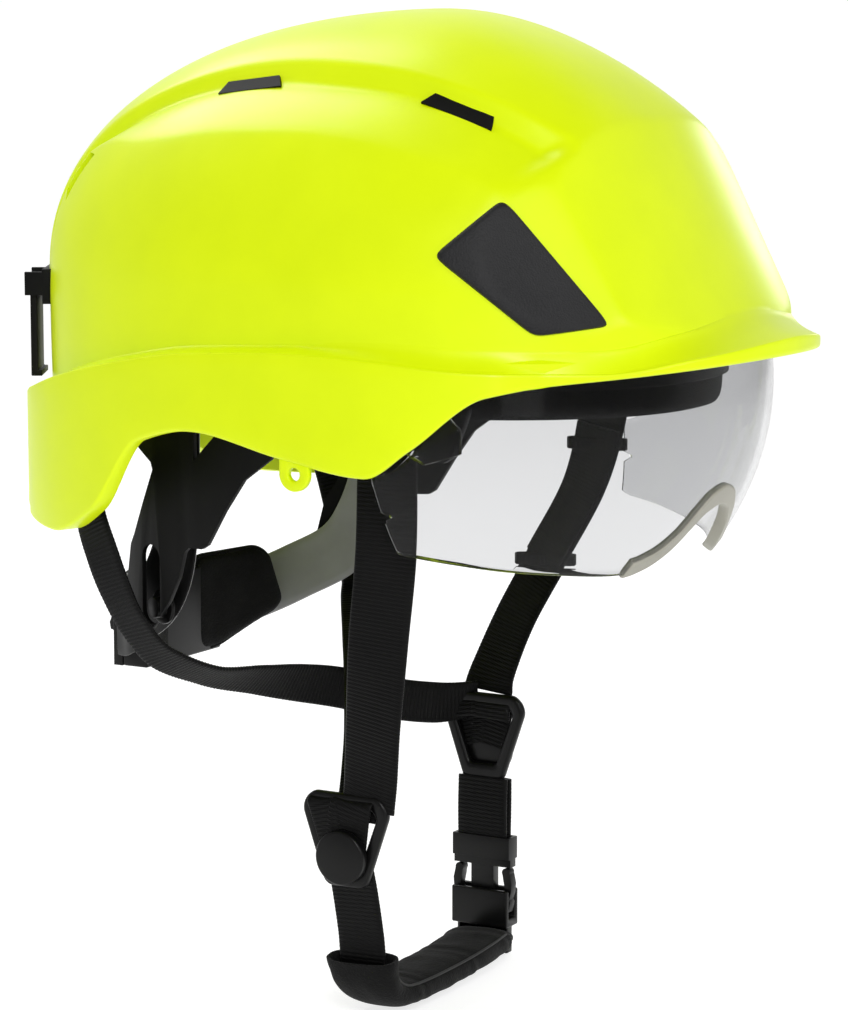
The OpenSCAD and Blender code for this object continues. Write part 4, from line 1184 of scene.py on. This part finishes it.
def chin_sleeve():
    """The chin cup's padded sleeve, open at the near end where the strap goes in."""
    s, p, _, across, out = strap_path(SLEEVE, [[0, -1, 0]] * len(SLEEVE), SLEEVE_STEP)
    total = s[-1]
    cols = 72
    ang = np.linspace(0, 2 * np.pi, cols, endpoint=False)
    c, sn = np.cos(ang), np.sin(ang)
    rings = []

    def ring(k, half_w, half_t, crease=0.0):
        """One cross section, with folds of the given depth."""
        n = 2.7
        x = np.sign(c) * half_w * np.abs(c) ** (2 / n)
        z = np.sign(sn) * half_t * np.abs(sn) ** (2 / n)
        q = p[k] + x[:, None] * across[k] + z[:, None] * out[k]
        fold_wave = wobble(q, 3.4, 1.3) + 0.6 * np.sin(s[k] * 0.62 + 2.2 * np.sin(s[k] * 0.21) + 2 * ang)
        push = crease * fold_wave
        return q + push[:, None] * (unit(q - p[k]))

    for k in range(len(s)):
        u = s[k] / total
        flare = 1 + 0.10 * math.exp(-((s[k] / 6.0) ** 2))
        tail = smooth((s[k] - (total - 7)) / 7) * 0.45
        half_w = SLEEVE_HALF_W * flare * (1 - 0.25 * tail) * (1 - 0.05 * math.sin(math.pi * u))
        half_t = SLEEVE_HALF_T * flare * (1 - tail)
        crease = 0.28 * float(smooth(s[k] / 5)) * (0.35 + 0.65 * math.sin(s[k] * 0.17) ** 2)
        rings.append(ring(k, half_w, half_t, crease))
    outer = len(rings)
    rings.append(ring(len(s) - 1, 9.6, 1.5))
    inside = []
    depth = int(SLEEVE_MOUTH / SLEEVE_STEP)
    for k in range(0, depth):
        shrink = 1.25 if k > 0 else 0.55
        squeeze = 1 - 0.5 * smooth(k / depth)
        inside.append(ring(k, SLEEVE_HALF_W * 1.08 - shrink, (SLEEVE_HALF_T * 1.08 - shrink) * squeeze))
    points = np.concatenate([*rings, *inside])
    faces = quads(len(rings), cols)
    base = len(rings) * cols
    for a, b, e, f in quads(len(inside), cols):
        faces.append((base + f, base + e, base + b, base + a))
    for i in range(cols):
        k = (i + 1) % cols
        faces.append((k, i, base + i, base + k))
    faces.append(tuple((len(rings) - 1) * cols + i for i in range(cols)))
    faces.append(tuple(base + (len(inside) - 1) * cols + i for i in range(cols - 1, -1, -1)))
    o = piece("chin_sleeve", points, faces, FOAM, "helmet", ["chin_pad"], 60.0)
    seam = [p[k] + across[k] * 10.6 + out[k] * 3.3 for k in range(6, outer - 8)]
    tube("chin_seam", seam, 0.45, THREAD, "helmet", closed=False)


chin_sleeve()


# ---------- Y-buckles, adjuster and keepers ----------

Y_RIGHT = np.array([-54, 7, -175], float)
Y_LEFT = np.array([50, 12, -159], float)


def hull_outline(circles, steps=90):
    """The outline round several circles (y, z, r), as their support function."""
    pts = []
    for k in range(steps):
        a = 2 * math.pi * k / steps
        n = np.array([math.cos(a), math.sin(a)])
        best = max(circles, key=lambda q: q[0] * n[0] + q[1] * n[1] + q[2])
        pts.append(np.array(best[:2]) + n * best[2])
    return np.array(pts)


# Across a ring buckle's bar, from its outer edge (0) to its window (1), with the height in mm
RING_SECTION = [
    (0.0, 0.0), (0.03, 0.9), (0.12, 1.5), (0.3, 1.75), (0.6, 1.75), (0.85, 1.5), (0.97, 0.9),
    (1.0, 0.0), (0.97, -0.9), (0.85, -1.5), (0.6, -1.6), (0.3, -1.6), (0.12, -1.5), (0.03, -0.9),
]


def y_ring(name, at, body, node):
    """A moulded ring buckle with a rounded section and one window."""
    outer = hull_outline([(-11.5, 9, 5), (11.5, 9, 5), (-5, -13, 4), (5, -13, 4)], 120)
    outer[:, 1] += np.where(outer[:, 1] > 11, (1 - (outer[:, 0] / 16.5) ** 2) * 2.2, 0)
    inner = hull_outline([(-9.2, 7.2, 2.6), (9.2, 7.2, 2.6), (-4.0, -8.5, 2.0), (4.0, -8.5, 2.0)], 120)
    inner[:, 1] += np.where(inner[:, 1] > 8, (1 - (inner[:, 0] / 11.8) ** 2) * 1.8, 0)
    rings = []
    for u, h in RING_SECTION:
        plan = mix(outer, inner, u)
        rings.append(np.column_stack([np.full(len(plan), h), plan]) + at)
    points = np.concatenate(rings)
    cols = len(outer)
    faces = quads(len(rings), cols)
    last = (len(rings) - 1) * cols
    for i in range(cols):
        k = (i + 1) % cols
        faces.append((last + i, last + k, k, i))
    piece(name, points, faces, SATIN, body, [node], 60.0)


y_ring("ring_buckle_right", Y_RIGHT, "helmet", "y_buckle_right")
y_ring("ring_buckle_left", Y_LEFT, "left_strap_end", "y_buckle_left")
for tag, at, side, body in (("right", Y_RIGHT, -1, "helmet"), ("left", Y_LEFT, 1, "left_strap_end")):
    for k, (y0, y1, w) in enumerate(((-3.2, 0.0, 16.0), (8.2, 3.5, 11.5))):
        route = [
            at + [side * -1.4, y0 * 0.9, 6.0], at + [side * -1.0, y0, 11.6], at + [side * 1.7, y0, 12.4],
            at + [side * 2.4, mix(y0, y1, 0.3), 8.0], at + [side * 1.2, y1, -4.0],
        ]
        webbing(f"buckle_loop_{tag}_{k + 1}", route, [[0, -1, 0]] * 5, w, 1.4, body=body)

grip_low, grip_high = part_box("adjuster_strap")
gx, gy = (grip_low.x + grip_high.x) / 2 / MM, (grip_low.y + grip_high.y) / 2 / MM
top_z, low_z = grip_high.z / MM, grip_low.z / MM
webbing("adjuster_webbing_outer", [[gx - 1.5, gy, top_z], [gx - 2.0, gy, mix(top_z, low_z, 0.4)],
                                   [gx - 1.8, gy, mix(top_z, low_z, 0.8)], [gx - 1.2, gy, low_z]],
        [[0, -1, 0]] * 4, WEB_W, 1.6, body="left_strap_end", stands_for=["adjuster_strap"])
webbing("adjuster_webbing_inner", [[gx + 1.5, gy, top_z], [gx + 2.6, gy + 0.6, mix(top_z, low_z, 0.4)],
                                   [gx + 1.9, gy + 0.4, mix(top_z, low_z, 0.8)], [gx + 1.2, gy, low_z]],
        [[0, -1, 0]] * 4, WEB_W, 1.6, body="left_strap_end")


def keeper(name, at, turn, node):
    """A sewn loop of narrow webbing round the strap."""
    a = math.radians(turn)
    c, s = math.cos(a), math.sin(a)
    route = []
    for x, y in ((-1.8, -8), (-2.2, 0), (-1.8, 8), (-0.9, 10.6), (0.9, 10.6), (1.8, 8), (2.0, 0), (1.8, -8),
                 (0.9, -10.6), (-0.9, -10.6), (-1.8, -8)):
        route.append(np.array(at) + [x * c - y * s, x * s + y * c, 0])
    webbing(name, route, [[0, 0, 1]] * len(route), 4.4, 0.9, body="helmet", stands_for=[node] if node else ())


keeper("keeper_high", [77.9, -18.9, -54.5], 8, "strap_keepers")
keeper("keeper_low", [68.4, -3.2, -97], 14.5, None)


# ---------- camera, light and floor ----------

# Level directions away from the camera and across its view
AWAY = (0.869, 0.495, 0.0)
ACROSS = (-0.495, 0.869, 0.0)


def stage_set(floor_z):
    """A round white floor that curves up into a wall, brightest behind the helmet."""
    m, tree, b = principled("studio_white", (0.5, 0.5, 0.5), 0.8, Specular_IOR_Level=0.1)
    b.inputs["Emission Color"].default_value = (1.0, 1.0, 1.0, 1.0)
    spot = add(tree, "ShaderNodeTexCoord")

    def distance(direction):
        dot = add(tree, "ShaderNodeVectorMath", operation="DOT_PRODUCT")
        dot.inputs[1].default_value = direction
        tree.links.new(spot.outputs["Object"], dot.inputs[0])
        return dot.outputs["Value"]

    glow = between(tree, distance(AWAY), 0.26, 0.76, -0.6, 0.0)
    spread = add(tree, "ShaderNodeMath", operation="ABSOLUTE")
    tree.links.new(distance(ACROSS), spread.inputs[0])
    fade = between(tree, spread.outputs[0], 1.0, 0.45, 0.9, 1.7)
    level = add(tree, "ShaderNodeMath", operation="MULTIPLY")
    tree.links.new(glow, level.inputs[0])
    tree.links.new(fade, level.inputs[1])
    tree.links.new(level.outputs[0], b.inputs["Emission Strength"])
    bend, reach, sides = 1.2, 3.2, 96
    profile = [(0.4, 0.0), (1.2, 0.0), (reach, 0.0)]
    for k in range(1, 17):
        a = math.radians(k * 90 / 16)
        profile.append((reach + bend * math.sin(a), bend * (1 - math.cos(a))))
    profile.append((reach + bend, 5.0))
    points = []
    for out, up in profile:
        for k in range(sides):
            a = 2 * math.pi * k / sides
            points.append((out * math.cos(a), out * math.sin(a), floor_z + up))
    faces = quads(len(profile), sides) + [tuple(range(sides))]
    mesh = bpy.data.meshes.new("studio_floor")
    mesh.from_pydata(points, [], faces)
    shade(mesh, 60.0)
    o = bpy.data.objects.new("studio_floor", mesh)
    mesh.materials.append(m)
    bpy.context.scene.collection.objects.link(o)


def area_light(name, at, target, size, power):
    """A square soft light at one place, aimed at another."""
    data = bpy.data.lights.new(name, "AREA")
    data.energy = power
    data.shape = "SQUARE"
    data.size = size
    o = bpy.data.objects.new(name, data)
    bpy.context.scene.collection.objects.link(o)
    o.location = at
    o.rotation_mode = "QUATERNION"
    o.rotation_quaternion = (Vector(target) - Vector(at)).to_track_quat("-Z", "Y")


low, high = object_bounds()
stage_set(low.z - 0.0005)

bpy.context.scene.view_settings.view_transform = "Standard"
bpy.context.scene.view_settings.look = "None"
world = bpy.data.worlds.new("studio")
world.use_nodes = True
world.node_tree.nodes["Background"].inputs["Color"].default_value = (1.0, 1.0, 1.0, 1.0)
world.node_tree.nodes["Background"].inputs["Strength"].default_value = 0.12
bpy.context.scene.world = world

area_light("key", (-1.3, -0.95, 0.9), (0, 0, 0), 0.6, 14.5)
area_light("top", (0.3, 0.95, 1.15), (0, 0, 0.02), 0.9, 13.0)
area_light("front_fill", (-0.35, -1.6, 0.5), (0, 0, 0), 0.6, 4.0)
area_light("right_card", (1.45, 0.05, 0.2), (0, -0.05, 0.02), 0.22, 0.9)
area_light("low_front", (-1.2, -0.9, -0.1), (0, 0, -0.12), 0.5, 0.5)

LENS_MM = 124.0396
FILM_MM = 36.0
CAMERA_AT = Vector((-1.0287, -0.5857, 0.1010))
LOOKS_AT = Vector((0.0, 0.00825, -0.0691))
camera_data = bpy.data.cameras.new("camera")
camera = bpy.data.objects.new("camera", camera_data)
bpy.context.scene.collection.objects.link(camera)
camera_data.sensor_width = FILM_MM
camera_data.lens = LENS_MM
camera_data.clip_start = 0.05
camera.location = CAMERA_AT
camera.rotation_mode = "QUATERNION"
camera.rotation_quaternion = (LOOKS_AT - CAMERA_AT).to_track_quat("-Z", "Y")
bpy.context.scene.camera = camera
